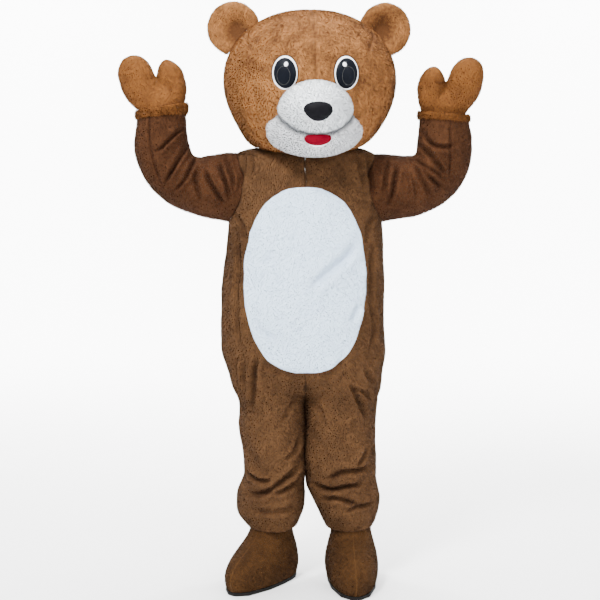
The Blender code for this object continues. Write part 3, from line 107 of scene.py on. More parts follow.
# A crease with a ridge on each side, on the front (face -1) or the back (face 1). Its path is drawn
# through points (x, height above the floor), and seam is how strongly it shows as a sewn line.
# Each crease and sewn line is also darkened along its trough with painted shade.
Fold = namedtuple("Fold", "face width depth seam path")
FOLDS = [
    # across the belly patch
    Fold(-1, 0.018, 0.0075, 0.0, ((0.177, 1.162), (0.100, 1.085), (0.006, 0.993))),
    Fold(-1, 0.013, 0.0050, 0.0, ((0.180, 0.951), (0.139, 0.899))),
    Fold(-1, 0.014, 0.0025, 0.0, ((-0.150, 1.080), (-0.090, 1.130))),
    Fold(-1, 0.015, 0.0028, 0.0, ((-0.172, 0.885), (-0.080, 0.840))),
    # from the shoulders to the armholes
    Fold(-1, 0.009, 0.0065, 0.0, ((-0.198, 1.470), (-0.196, 1.380), (-0.222, 1.290))),
    Fold(-1, 0.008, 0.0050, 0.0, ((-0.170, 1.455), (-0.172, 1.385), (-0.190, 1.330))),
    Fold(-1, 0.009, 0.0065, 0.0, ((0.203, 1.465), (0.202, 1.380), (0.224, 1.290))),
    Fold(-1, 0.008, 0.0050, 0.0, ((0.172, 1.450), (0.177, 1.370), (0.196, 1.310))),
    Fold(-1, 0.010, 0.0055, 0.0, ((-0.236, 1.250), (-0.205, 1.215), (-0.196, 1.150))),
    Fold(-1, 0.010, 0.0055, 0.0, ((0.236, 1.245), (0.206, 1.205), (0.198, 1.140))),
    # beside the belly
    Fold(-1, 0.010, 0.0060, 0.0, ((-0.222, 1.180), (-0.214, 1.060), (-0.222, 0.940))),
    Fold(-1, 0.010, 0.0055, 0.0, ((-0.212, 1.000), (-0.222, 0.900), (-0.206, 0.800))),
    Fold(-1, 0.010, 0.0060, 0.0, ((0.220, 1.160), (0.212, 1.050), (0.222, 0.930))),
    Fold(-1, 0.010, 0.0055, 0.0, ((0.214, 0.980), (0.224, 0.880), (0.212, 0.790))),
    # hips
    Fold(-1, 0.011, 0.0100, 0.0, ((-0.150, 0.800), (-0.166, 0.689), (-0.181, 0.584))),
    Fold(-1, 0.010, 0.0055, 0.0, ((-0.200, 0.775), (-0.197, 0.707), (-0.203, 0.640))),
    Fold(-1, 0.008, 0.0060, 0.0, ((-0.222, 0.780), (-0.229, 0.690))),
    Fold(-1, 0.015, 0.0035, 0.0, ((-0.150, 0.790), (-0.090, 0.740), (-0.025, 0.712))),
    Fold(-1, 0.010, 0.0100, 0.0, ((0.140, 0.705), (0.180, 0.623), (0.212, 0.555))),
    Fold(-1, 0.009, 0.0080, 0.0, ((0.190, 0.745), (0.218, 0.702), (0.232, 0.680))),
    Fold(-1, 0.009, 0.0080, 0.0, ((0.150, 0.684), (0.205, 0.652), (0.226, 0.622))),
    Fold(-1, 0.015, 0.0035, 0.0, ((0.140, 0.800), (0.100, 0.750), (0.035, 0.715))),
    Fold(-1, 0.010, 0.0060, 0.0, ((-0.012, 0.645), (-0.050, 0.615), (-0.080, 0.560))),
    Fold(-1, 0.010, 0.0055, 0.0, ((0.018, 0.640), (0.048, 0.600), (0.062, 0.540))),
    # left leg
    Fold(-1, 0.009, 0.0055, 0.0, ((-0.010, 0.515), (-0.036, 0.455), (-0.070, 0.425))),
    Fold(-1, 0.011, 0.0120, 0.0, ((-0.004, 0.425), (-0.063, 0.367), (-0.134, 0.317), (-0.215, 0.309))),
    Fold(-1, 0.010, 0.0110, 0.0, ((-0.215, 0.385), (-0.161, 0.362), (-0.100, 0.367))),
    Fold(-1, 0.010, 0.0090, 0.0, ((-0.010, 0.345), (-0.063, 0.334), (-0.118, 0.312))),
    Fold(-1, 0.012, 0.0055, 0.0, ((-0.195, 0.254), (-0.107, 0.256), (-0.012, 0.270))),
    # right leg
    Fold(-1, 0.010, 0.0115, 0.0, ((0.226, 0.412), (0.174, 0.395), (0.120, 0.390), (0.066, 0.357))),
    Fold(-1, 0.010, 0.0120, 0.0, ((0.004, 0.346), (0.088, 0.331), (0.142, 0.343), (0.205, 0.353))),
    Fold(-1, 0.010, 0.0090, 0.0, ((0.045, 0.287), (0.098, 0.308), (0.142, 0.295), (0.186, 0.270))),
    Fold(-1, 0.009, 0.0090, 0.0, ((0.130, 0.254), (0.180, 0.276), (0.232, 0.279))),
    Fold(-1, 0.008, 0.0070, 0.0, ((0.170, 0.400), (0.190, 0.435), (0.208, 0.478))),
    # back
    Fold(1, 0.009, 0.0060, 0.0, ((-0.200, 1.460), (-0.198, 1.370), (-0.225, 1.280))),
    Fold(1, 0.009, 0.0060, 0.0, ((0.203, 1.450), (0.200, 1.365), (0.226, 1.290))),
    Fold(1, 0.011, 0.0060, 0.0, ((-0.225, 1.240), (-0.170, 1.180), (-0.090, 1.150))),
    Fold(1, 0.011, 0.0060, 0.0, ((0.228, 1.235), (0.180, 1.165), (0.110, 1.130))),
    Fold(1, 0.014, 0.0050, 0.0, ((-0.215, 1.000), (-0.150, 0.935), (-0.065, 0.915))),
    Fold(1, 0.014, 0.0050, 0.0, ((0.220, 0.965), (0.150, 0.905), (0.070, 0.900))),
    Fold(1, 0.011, 0.0085, 0.0, ((-0.232, 0.770), (-0.170, 0.715), (-0.080, 0.700))),
    Fold(1, 0.011, 0.0085, 0.0, ((0.235, 0.755), (0.160, 0.705), (0.075, 0.690))),
    Fold(1, 0.010, 0.0075, 0.0, ((-0.205, 0.660), (-0.130, 0.625), (-0.050, 0.640))),
    Fold(1, 0.010, 0.0075, 0.0, ((0.205, 0.640), (0.125, 0.610), (0.052, 0.632))),
    Fold(1, 0.011, 0.0100, 0.0, ((-0.205, 0.520), (-0.130, 0.465), (-0.040, 0.470))),
    Fold(1, 0.011, 0.0100, 0.0, ((0.212, 0.500), (0.135, 0.450), (0.045, 0.455))),
    Fold(1, 0.010, 0.0110, 0.0, ((-0.215, 0.405), (-0.120, 0.372), (-0.030, 0.395))),
    Fold(1, 0.010, 0.0110, 0.0, ((0.225, 0.400), (0.130, 0.362), (0.045, 0.378))),
    Fold(1, 0.010, 0.0095, 0.0, ((-0.210, 0.300), (-0.115, 0.292), (-0.035, 0.318))),
    Fold(1, 0.010, 0.0095, 0.0, ((0.228, 0.318), (0.145, 0.285), (0.070, 0.300))),
    # left sleeve
    Fold(-1, 0.007, 0.0085, 0.0, ((-0.372, 1.530), (-0.420, 1.480), (-0.458, 1.448), (-0.484, 1.436))),
    Fold(-1, 0.008, 0.0095, 0.0, ((-0.358, 1.508), (-0.385, 1.441), (-0.423, 1.373), (-0.457, 1.326))),
    Fold(-1, 0.007, 0.0080, 0.0, ((-0.345, 1.430), (-0.370, 1.373), (-0.401, 1.334), (-0.433, 1.306))),
    Fold(-1, 0.009, 0.0060, 0.0, ((-0.338, 1.400), (-0.348, 1.340), (-0.336, 1.268))),
    Fold(-1, 0.009, 0.0100, 0.0, ((-0.326, 1.392), (-0.297, 1.330), (-0.256, 1.258))),
    Fold(-1, 0.008, 0.0080, 0.0, ((-0.285, 1.420), (-0.259, 1.350), (-0.246, 1.270))),
    Fold(-1, 0.008, 0.0065, 0.0, ((-0.259, 1.440), (-0.238, 1.369), (-0.230, 1.300))),
    Fold(-1, 0.005, 0.0040, 1.0, ((-0.491, 1.565), (-0.489, 1.460), (-0.474, 1.382), (-0.452, 1.318))),
    # right sleeve
    Fold(-1, 0.008, 0.0085, 0.0, ((0.356, 1.520), (0.400, 1.464), (0.445, 1.455), (0.486, 1.464))),
    Fold(-1, 0.008, 0.0095, 0.0, ((0.350, 1.475), (0.395, 1.425), (0.430, 1.385), (0.454, 1.345))),
    Fold(-1, 0.008, 0.0080, 0.0, ((0.345, 1.424), (0.385, 1.392), (0.425, 1.360), (0.448, 1.336))),
    Fold(-1, 0.008, 0.0070, 0.0, ((0.274, 1.425), (0.258, 1.360), (0.246, 1.300))),
    Fold(-1, 0.009, 0.0090, 0.0, ((0.305, 1.410), (0.285, 1.330), (0.256, 1.258))),
    Fold(-1, 0.009, -0.0060, 0.0, ((0.329, 1.395), (0.340, 1.335), (0.339, 1.280))),
    Fold(-1, 0.009, 0.0080, 0.0, ((0.350, 1.410), (0.375, 1.345), (0.403, 1.283))),
    Fold(-1, 0.008, 0.0075, 0.0, ((0.365, 1.405), (0.405, 1.350), (0.447, 1.312))),
    Fold(-1, 0.005, 0.0040, 1.0, ((0.456, 1.548), (0.460, 1.450), (0.456, 1.345))),
    # backs of the sleeves
    Fold(1, 0.009, 0.0080, 0.0, ((-0.290, 1.425), (-0.270, 1.350), (-0.250, 1.265))),
    Fold(1, 0.009, 0.0080, 0.0, ((-0.360, 1.420), (-0.410, 1.370), (-0.470, 1.345))),
    Fold(1, 0.009, 0.0075, 0.0, ((-0.370, 1.490), (-0.430, 1.455), (-0.500, 1.450))),
    Fold(1, 0.009, 0.0080, 0.0, ((0.290, 1.420), (0.272, 1.345), (0.252, 1.262))),
    Fold(1, 0.009, 0.0080, 0.0, ((0.352, 1.412), (0.400, 1.372), (0.460, 1.352))),
    Fold(1, 0.009, 0.0075, 0.0, ((0.362, 1.480), (0.420, 1.448), (0.486, 1.452))),
]
FOLD_DEPTH = 1.55
MITT_FOLDS = [
    Fold(-1, 0.007, 0.0045, 0.0, ((-0.444, 1.682), (-0.423, 1.668), (-0.396, 1.688))),
    Fold(-1, 0.008, 0.0040, 0.0, ((-0.526, 1.664), (-0.493, 1.656), (-0.455, 1.676))),
    Fold(-1, 0.006, 0.0040, 0.0, ((-0.433, 1.650), (-0.428, 1.622), (-0.430, 1.600))),
    Fold(-1, 0.007, 0.0040, 0.0, ((0.398, 1.665), (0.420, 1.650), (0.448, 1.662))),
    Fold(-1, 0.006, 0.0035, 0.0, ((0.428, 1.630), (0.426, 1.605), (0.432, 1.585))),
    Fold(1, 0.008, 0.0040, 0.0, ((-0.500, 1.660), (-0.460, 1.650), (-0.415, 1.668))),
    Fold(1, 0.008, 0.0040, 0.0, ((0.405, 1.650), (0.450, 1.640), (0.490, 1.655))),
]
HEAD_FOLDS = [
    Fold(-1, 0.006, 0.0030, 1.0, ((-0.182, 1.826), (-0.181, 1.779), (-0.160, 1.735))),
    Fold(-1, 0.006, 0.0030, 1.0, ((0.212, 1.826), (0.211, 1.779), (0.190, 1.735))),
    Fold(-1, 0.006, 0.0030, 1.0, ((-0.180, 1.520), (-0.162, 1.486))),
    Fold(-1, 0.006, 0.0030, 1.0, ((0.210, 1.520), (0.192, 1.486))),
    Fold(1, 0.006, 0.0030, 1.0, ((-0.170, 1.830), (-0.150, 1.770), (-0.120, 1.735))),
    Fold(1, 0.006, 0.0030, 1.0, ((0.200, 1.830), (0.180, 1.770), (0.150, 1.735))),
]

# the thickest wall looked for when a piece's outside, lining and cut edges are told apart
CLOTH_WALL = 0.0035
HEAD_WALL = 0.0080
HEAD_MIDDLE = Vector((0.015, 0.0, 0.250))
HEAD_TURN = math.radians(4.0)
NOSE_TIP = Vector((0.040, -0.350, 0.140))
EYE_PLACE = (0.0945, -0.2360, 1.676)
EYE_TURN = math.radians(17.0)
PUPIL_HALF = (0.0355, 0.0463)
PUPIL_LEAN = math.radians(4)
GLINT_HALF = (0.0068, 0.0080)
RING_HALF = (0.0205, 0.0275)
UPRIGHT = Matrix.Rotation(math.radians(90), 3, "X")

CAMERA_ASIDE = -0.0166
CAMERA_PITCH = 7.15
STUDIO_REACH = 7.0
Light = namedtuple("Light", "name place aim size power")
LIGHTS = [
    Light("key_light", (-1.7, -2.9, 3.3), (0, 0, -0.2), 1.3, 560.0),
    Light("fill_light", (2.6, -3.0, 1.2), (0, 0, -0.3), 2.4, 120.0),
    Light("top_light", (0.3, 0.6, 3.4), (0, 0, 0), 2.0, 230.0),
    Light("wall_light_left", (-3.2, 3.6, 2.6), (-1.0, 7.0, -0.6), 2.0, 1400.0),
    Light("wall_light_right", (3.2, 3.6, 2.6), (1.0, 7.0, -0.6), 2.0, 1400.0),
]


class Link:
    """An output of a node tree that takes part in Python sums."""

    def __init__(self, graph, socket):
        self.graph = graph
        self.socket = socket

    def sum(self, operation, *values):
        return self.graph.node("ShaderNodeMath", {"operation": operation}, dict(enumerate(values)))

    def __add__(self, other):
        return self.sum("ADD", self, other)

    __radd__ = __add__

    def __sub__(self, other):
        return self.sum("SUBTRACT", self, other)

    def __rsub__(self, other):
        return self.sum("SUBTRACT", other, self)

    def __mul__(self, other):
        return self.sum("MULTIPLY", self, other)

    __rmul__ = __mul__

    def __truediv__(self, other):
        return self.sum("DIVIDE", self, other)

    def output(self, name):
        return Link(self.graph, self.socket.node.outputs[name])


class Graph:
    """A node tree being filled in."""

    def __init__(self, tree):
        self.tree = tree

    def node(self, kind, settings=None, inputs=None, output=0):
        """Adds a node: its settings first, then a value or link for each socket."""
        made = self.tree.nodes.new(kind)
        for key, value in (settings or {}).items():
            setattr(made, key, value)
        for key, value in (inputs or {}).items():
            if isinstance(value, Link):
                self.tree.links.new(value.socket, made.inputs[key])
            else:
                made.inputs[key].default_value = value
        if not made.outputs:
            return made
        return Link(self, made.outputs[output])

    def vector(self, operation, first, second=(0, 0, 0)):
        return self.node("ShaderNodeVectorMath", {"operation": operation}, {0: first, 1: second})

    def scaled(self, first, scale):
        return self.node("ShaderNodeVectorMath", {"operation": "SCALE"}, {0: first, "Scale": scale})

    def mix(self, share, first, second):
        """Two colours mixed."""
        settings = {"data_type": "RGBA", "clamp_factor": True}
        return self.node("ShaderNodeMix", settings, {0: share, 6: first, 7: second}, output=2)

    def attribute(self, name):
        return self.node("ShaderNodeAttribute", {"attribute_name": name}, output=2)

    def coords(self):
        """The place on the object, in metres."""
        return self.node("ShaderNodeTexCoord", output=3)

    def bump(self, strength, distance, height):
        inputs = {"Strength": strength, "Distance": distance, "Height": height}
        return self.node("ShaderNodeBump", {}, inputs)

    def random(self, low, high, seed):
        """A random number for each point."""
        inputs = {2: low, 3: high, "Seed": seed}
        return self.node("FunctionNodeRandomValue", {"data_type": "FLOAT"}, inputs, output=1)

    def store(self, geometry, name, value, kind="FLOAT"):
        """Keeps a value on each point of a geometry."""
        return self.node(
            "GeometryNodeStoreNamedAttribute", {"data_type": kind, "domain": "POINT"},
            {"Geometry": geometry, "Name": name, "Value": value},
        )


def colour(value):
    return (value[0], value[1], value[2], 1.0)


def new_material(name, **fixed):
    """A material and the graph of its shader, with the shader's fixed values set."""
    material = bpy.data.materials.new(name)
    material.use_nodes = True
    graph = Graph(material.node_tree)
    shader = material.node_tree.nodes["Principled BSDF"]
    for key, value in fixed.items():
        shader.inputs[key.replace("_", " ")].default_value = value
    return material, graph, shader


def feed(graph, shader, **links):
    for key, value in links.items():
        graph.tree.links.new(value.socket, shader.inputs[key.replace("_", " ")])


def noise(graph, coords, scale, detail=3.0):
    return graph.node("ShaderNodeTexNoise", {}, {"Vector": coords, "Scale": scale, "Detail": detail})


def plush_material(name, root, tip, hairs, mottle, seam_shade, level, crease):
    """Plush in two shades, mixed by brushed patches, by the nap and along the hairs; darker roots are painted shade.
    """
    material, graph, shader = new_material(
        name, Roughness=0.95, Sheen_Weight=0.08, Sheen_Roughness=0.5, Sheen_Tint=colour(tip)
    )
    shader.inputs["Specular IOR Level"].default_value = 0.12
    coords = graph.coords()
    wide = noise(graph, coords, 7.0, 2.0)
    patches = noise(graph, coords, 24.0, 3.0)
    nap = noise(graph, coords, 110.0, 3.0)
    share = (wide - 0.5) * mottle + (patches - 0.5) * mottle + (nap - 0.5) * (0.5 + 0.5 * mottle)
    # Painted shade along seams, fold troughs, joins and hollows.
    share = share + graph.attribute("seam") * seam_shade
    if hairs:
        # Hairs are darker towards their roots and lighter at their tips: painted shade between the hairs.
        share = share + graph.attribute("tip") * 0.30 + graph.attribute("tone") * 0.24 + (level - 0.20)
    else:
        share = share + level
        fine = noise(graph, coords, 520.0, 2.0)
        bump = graph.bump(0.5, 0.003, nap * 0.6 + fine * 0.4)
        feed(graph, shader, Normal=bump)
    share = graph.node("ShaderNodeMath", {"operation": "ADD", "use_clamp": True}, {0: share, 1: 0.0})
    base = graph.mix(share, colour(root), colour(tip))
    # Near seams and joins the colour is pulled towards black: painted shade in the crease.
    if crease:
        base = graph.mix(graph.attribute("seam") * crease, base, colour(Vector(root) * 0.15))
    feed(graph, shader, Base_Color=base)
    return material


def lining_material():
    """The knitted back of the plush, seen inside the openings."""
    material, graph, shader = new_material("plush_backing", Roughness=0.95)
    coords = graph.coords()
    rows = graph.node(
        "ShaderNodeTexWave", {"wave_type": "BANDS", "bands_direction": "Z"},
        {"Vector": coords, "Scale": 160.0, "Distortion": 1.5, "Detail": 1.0},
    )
    bump = graph.bump(0.35, 0.001, rows)
    tint = noise(graph, coords, 30.0)
    base = graph.mix(tint, (0.060, 0.034, 0.020, 1), (0.085, 0.050, 0.030, 1))
    feed(graph, shader, Normal=bump, Base_Color=base)
    return material


def cad_copy(node):
    """A bmesh of a CAD node, its points joined and its triangles paired."""
    bm = bmesh.new()
    bm.from_mesh(nodes[node].data)
    bmesh.ops.remove_doubles(bm, verts=bm.verts, dist=3e-5)
    bmesh.ops.dissolve_degenerate(bm, edges=bm.edges, dist=1e-5)
    bmesh.ops.join_triangles(bm, faces=bm.faces, angle_face_threshold=0.9, angle_shape_threshold=1.4)
    bm.normal_update()
    return bm


def connected(faces):
    """Groups of faces joined by their edges, the largest area first."""
    left, groups = set(faces), []
    while left:
        group, waiting = [], [left.pop()]
        while waiting:
            face = waiting.pop()
            group.append(face)
            for edge in face.edges:
                for other in edge.link_faces:
                    if other in left:
                        left.remove(other)
                        waiting.append(other)
        groups.append(group)
    return sorted(groups, key=lambda group: -sum(face.calc_area() for face in group))


def mark_walls(bm, rolled, wall):
    """Material 0 on the outside of a thin wall, 1 on its lining and 2 on its cut edges."""
    bm.faces.index_update()
    bm.faces.ensure_lookup_table()
    tree = BVHTree.FromBMesh(bm)
    behind, sheet = {}, []
    for face in bm.faces:
        face.material_index = 2
        back = -face.normal
        hit = tree.ray_cast(face.calc_center_median() + back * 0.0002, back, wall * 1.7)
        thin = face.calc_area() / max(edge.calc_length() for edge in face.edges) < wall * 1.2
        if hit[0] is not None and hit[1].dot(back) > 0.6:
            behind[face.index] = hit[2]
        elif thin:
            continue
        sheet.append(face)
    groups = connected(sheet)
    for index, group in enumerate(groups[:2]):
        for face in group:
            face.material_index = index
    for group in groups[2:]:
        votes = [bm.faces[behind[face.index]].material_index for face in group if face.index in behind]
        for face in group:
            face.material_index = 1 if votes.count(0) > votes.count(1) else 0
    if rolled:
        for face in bm.faces:
            face.material_index = face.material_index % 2
        return
    crease = bm.edges.layers.float.new("crease_edge")
    for edge in bm.edges:
        marks = {face.material_index for face in edge.link_faces}
        if 2 in marks and (len(marks) > 1 or edge.calc_face_angle(0) > 0.6):
            edge[crease] = 1.0


def put(name, bm, materials):
    """A new object from a bmesh."""
    mesh = bpy.data.meshes.new(name)
    bm.to_mesh(mesh)
    bm.free()
    for material in materials:
        mesh.materials.append(material)
    mesh.shade_smooth()
    piece = bpy.data.objects.new(name, mesh)
    bpy.context.scene.collection.objects.link(piece)
    return piece


def settle(piece):
    """Applies the piece's modifiers."""
    graph = bpy.context.evaluated_depsgraph_get()
    made = bpy.data.meshes.new_from_object(
        piece.evaluated_get(graph), preserve_all_data_layers=True, depsgraph=graph
    )
    old = piece.data
    piece.modifiers.clear()
    piece.data = made
    bpy.data.meshes.remove(old)
    made.name = piece.name


def rounded(piece, levels=2):
    """Rounds the coarse cut piece and applies it."""
    modifier = piece.modifiers.new("round", "SUBSURF")
    modifier.levels = levels
    modifier.render_levels = levels
    settle(piece)
    piece.data.shade_smooth()


def points_of(mesh):
    points = np.empty(len(mesh.vertices) * 3, np.float32)
    mesh.vertices.foreach_get("co", points)
    return points.reshape(-1, 3)


def eased(value):
    """Zero to one, with soft ends."""
    value = np.clip(value, 0, 1)
    return value * value * (3 - 2 * value)


def outward(points):
    """How far the level direction out of the body or limb points across and back at each point."""
    x, y, height = points[:, 0], points[:, 1], points[:, 2] - FLOOR
    leg = eased((0.70 - height) / 0.10)
    arm = eased((np.abs(x) - 0.17) / 0.06) * eased((height - 1.16) / 0.08)
    arm = arm * eased((1.60 - height) / 0.05)
    across = (x - np.tanh(x / 0.03) * 0.115 * leg) * (0.6 + 0.3 * leg) * (1 - arm)
    deep = y + 0.03 * arm
    size = np.maximum(np.hypot(across, deep), 1e-4)
    return across / size, deep / size


def drawn(path, count=6):
    """Points along a smooth curve through a path's points."""
    ends = [path[0], *path, path[-1]]
    made = []
    for four in zip(ends, ends[1:], ends[2:], ends[3:]):
        for i in range(count):
            t = i / count
            made.append([
                0.5 * (2 * b + (c - a) * t + (2 * a - 5 * b + 4 * c - d) * t * t
                       + (3 * b - a - 3 * c + d) * t * t * t)
                for a, b, c, d in zip(*four)
            ])
    made.append(path[-1])
    return np.array(made)


def beside(flat, path):
    """How far each point lies to one side of a drawn path, and what share of the path it has passed."""
    knots = drawn(path)
    steps = np.diff(knots, axis=0)
    lengths = np.hypot(steps[:, 0], steps[:, 1])
    passed = np.concatenate(([0], np.cumsum(lengths)))
    best = np.full(len(flat), 9.0)
    side = np.ones(len(flat))
    run = np.zeros(len(flat))
    for start, step, length, before in zip(knots, steps, lengths, passed):
        away = flat - start
        place = np.clip(away @ step / length**2, 0, 1)
        miss = away - place[:, None] * step
        far = np.hypot(miss[:, 0], miss[:, 1])
        nearer = far < best
        turn = step[0] * miss[:, 1] - step[1] * miss[:, 0]
        best = np.where(nearer, far, best)
        side = np.where(nearer, np.where(turn < 0, -1.0, 1.0), side)
        run = np.where(nearer, (before + place * length) / passed[-1], run)
    return best * side, run


def near_fold(points, fold, reach):
    """Which points lie within so many widths of a fold on its face, how far aside and how far along."""
    path = np.array(fold.path)
    low = path.min(0) - reach * fold.width
    high = path.max(0) + reach * fold.width
    flat = points[:, (0, 2)] - (0, FLOOR)
    which = np.flatnonzero(((flat > low) & (flat < high)).all(1))
    facing = outward(points[which])[1] * fold.face
    which = which[facing > -0.05]
    across, run = beside(flat[which], fold.path)
    inside = np.abs(across) < reach * fold.width
    return which[inside], across[inside] / fold.width, run[inside]


def refine(piece, folds, finest):
    """Cuts the longer edges near each fold in two, twice at most."""
    bm = bmesh.new()
    bm.from_mesh(piece.data)
    for _ in range(2):
        bm.verts.index_update()
        points = np.array([vert.co for vert in bm.verts])
        near = np.zeros(len(points), bool)
        for fold in folds:
            near[near_fold(points, fold, 2.4)[0]] = True
        edges = [
            edge for edge in bm.edges
            if near[edge.verts[0].index] and near[edge.verts[1].index] and edge.calc_length() > finest
        ]
        if edges:
            bmesh.ops.subdivide_edges(bm, edges=edges, cuts=1, use_grid_fill=True)
    bm.to_mesh(piece.data)
    bm.free()


def close_legs(points):
    """Brings the insides of the legs together under the crotch."""
    height = points[:, 2] - FLOOR
    span = eased((height - 0.33) / 0.05) * eased((0.645 - height) / 0.02)
    reach = np.abs(points[:, 0])
    pull = 0.0055 * span * np.exp(-((reach / 0.022) ** 2))
    points[:, 0] = np.sign(points[:, 0]) * np.maximum(reach - pull, np.minimum(reach, 0.0005))


def crumple(piece, folds, unevenness):
    """Presses folds into a cloth wall, both its sides together, and makes it a little uneven."""
    points = points_of(piece.data).astype(float)
    shift = np.zeros(len(points))
    for fold in folds:
        which, across, run = near_fold(points, fold, 3.6)
        if not len(which):
            continue
        wave = across + 0.30 * np.sin(run * 6.0 + fold.path[0][1] * 40.0)
        window = eased(np.minimum(run, 1 - run) / 0.28)
        facing = eased(outward(points[which])[1] * fold.face * 1.7)
        ridges = 0.55 * np.exp(-((wave - 1.5) ** 2)) + 0.40 * np.exp(-((wave + 1.6) ** 2))
        profile = ridges - np.exp(-((wave / 0.75) ** 2))
        shift[which] += FOLD_DEPTH * fold.depth * window * facing * profile
    faces = np.zeros((len(points), 2), bool)
    for face in piece.data.polygons:
        faces[list(face.vertices), int(face.material_index == 1)] = True
    lining = faces[:, 1] & ~faces[:, 0]
    shift -= lining * 0.0014 * eased(np.abs(shift) / 0.004)
    out_x, out_y = outward(points)
    moved = np.stack((out_x * shift, out_y * shift, np.zeros(len(points))), axis=1)
    if unevenness:
        perlin.seed_set(NOISE_SEED)
        height = points[:, 2] - FLOOR
        at_zip = eased((points[:, 1] - 0.02) / 0.05) * eased((height - 0.60) / 0.1)
        free = 1 - at_zip * (1 - eased((np.abs(points[:, 0]) - 0.012) / 0.05))
        for i, point in enumerate(points):
            waver = perlin.noise_vector(point * 11.0) + 0.4 * perlin.noise_vector(point * 29.0)
            moved[i] += waver * (unevenness * free[i])
    points += moved
    close_legs(points)
    piece.data.vertices.foreach_set("co", points.astype(np.float32).ravel())
    piece.data.update()


def mark_seam_and_crease_shade(piece, folds):
    """Stores how near each point of the piece is to a seam or a fold's trough, for painted shade and shorter hairs
    there.
    """
    mesh = piece.data
    near = np.zeros(len(mesh.vertices))
    marks = np.zeros((len(mesh.vertices), 3), bool)
    for face in mesh.polygons:
        marks[list(face.vertices), face.material_index % 3] = True
    # Painted shade along the seams, where the outside meets the cut edges.
    near[marks[:, 0] & marks[:, 2]] = 1.0
    points = points_of(mesh).astype(float)
    for fold in folds:
        which, across, run = near_fold(points, fold, 1.6)
        wave = across if fold.seam else across + 0.30 * np.sin(run * 6.0 + fold.path[0][1] * 40.0)
        window = eased(np.minimum(run, 1 - run) / (0.1 if fold.seam else 0.3))
        # Deeper folds get stronger painted shade in their troughs.
        depth = fold.seam or max(0.0, fold.depth) * 85
        near[which] = np.maximum(near[which], depth * window * np.exp(-((wave * 1.5) ** 2)))
    layer = mesh.attributes.new("seam", "FLOAT", "POINT")
    layer.data.foreach_set("value", near.astype(np.float32))


def pile_tree(name, look, centre=None):
    """Geometry nodes that turn a surface into the hairs that stand on it."""
    tree = bpy.data.node_groups.new(name, "GeometryNodeTree")
    tree.interface.new_socket(name="Geometry", in_out="INPUT", socket_type="NodeSocketGeometry")
    tree.interface.new_socket(name="Geometry", in_out="OUTPUT", socket_type="NodeSocketGeometry")
    graph = Graph(tree)
    surface = graph.node("NodeGroupInput")
    roots = graph.node(
        "GeometryNodeDistributePointsOnFaces", {"distribute_method": "RANDOM"},
        {"Mesh": surface, "Density": float(look.density), "Seed": 7},
    )
    normal = roots.output("Normal")
    place = graph.node("GeometryNodeInputPosition")
    swirl = graph.node(
        "ShaderNodeTexNoise", {"noise_dimensions": "3D"},
        {"Vector": place, "Scale": 95.0, "Detail": 1.0}, output="Color",
    )
    swirl = graph.vector("SUBTRACT", swirl, (0.5, 0.5, 0.5))
    stray = graph.node(
        "FunctionNodeRandomValue", {"data_type": "FLOAT_VECTOR"},
        {0: (-1, -1, -1), 1: (1, 1, 1), "Seed": 11},
    )
    if centre is None:
        comb = (0.0, 0.0, -look.lean)
    else:
        comb = graph.vector("NORMALIZE", graph.vector("SUBTRACT", place, tuple(centre)))
        comb = graph.scaled(comb, look.lean)
    aim = graph.vector("ADD", normal, comb)
    aim = graph.vector("ADD", aim, graph.scaled(swirl, look.clump))
    aim = graph.vector("ADD", aim, graph.scaled(stray, look.stray))
    # A hair that would dip into the cloth is lifted to lie along it.
    dip = graph.vector("DOT_PRODUCT", aim, normal).output("Value")
    lift = graph.node("ShaderNodeMath", {"operation": "MAXIMUM"}, {0: 0.45 - dip, 1: 0.0})
    aim = graph.vector("ADD", aim, graph.scaled(normal, lift))
    turn = graph.node("FunctionNodeAlignRotationToVector", {"axis": "Z"}, {"Vector": aim})
    spin = graph.random(0.0, math.tau, 5)
    spin = graph.node("FunctionNodeAxisAngleToRotation", {}, {"Axis": (0, 0, 1), "Angle": spin})
    turn = graph.node(
        "FunctionNodeRotateRotation", {"rotation_space": "LOCAL"}, {"Rotation": turn, "Rotate By": spin}
    )
    tone = graph.random(0.0, 1.0, 3)
    seam = graph.node("GeometryNodeInputNamedAttribute", {"data_type": "FLOAT"}, {"Name": "seam"})
    size = graph.random(0.65, 1.2, 9)
    size = size * (1.0 - seam * 0.35)
    lie = graph.vector("ADD", normal, graph.scaled(stray, 0.24))
    points = graph.store(roots, "lie", lie, "FLOAT_VECTOR")
    points = graph.store(points, "tone", tone)
    # One hair: a triangle that stands on its short side.
    hair = graph.node("GeometryNodeMeshCircle", {"fill_type": "NGON"}, {"Vertices": 3, "Radius": 1.0})
    hair = graph.node(
        "GeometryNodeTransform", {},
        {
            "Geometry": hair, "Translation": (0, 0, look.length / 3 - 0.0008),
            "Rotation": (0, math.radians(-90), 0),
            "Scale": (look.length / 1.5, look.width / 1.732, 1.0),
        },
    )
    height = graph.node("ShaderNodeSeparateXYZ", {}, {0: place}, output=2)
    # How far along the hair each point lies, for painted shade towards the roots.
    hair = graph.store(hair, "tip", height / look.length)
    hairs = graph.node(
        "GeometryNodeInstanceOnPoints", {},
        {"Points": points, "Instance": hair, "Rotation": turn, "Scale": size},
    )
    hairs = graph.node("GeometryNodeRealizeInstances", {}, {"Geometry": hairs})
    graph.node("NodeGroupOutput", {}, {0: hairs})
    return tree


def node_tree(name):
    """A tree of a CAD node's faces, to cast rays at."""
    mesh = nodes[name].data
    return BVHTree.FromPolygons([v.co for v in mesh.vertices], [list(p.vertices) for p in mesh.polygons])


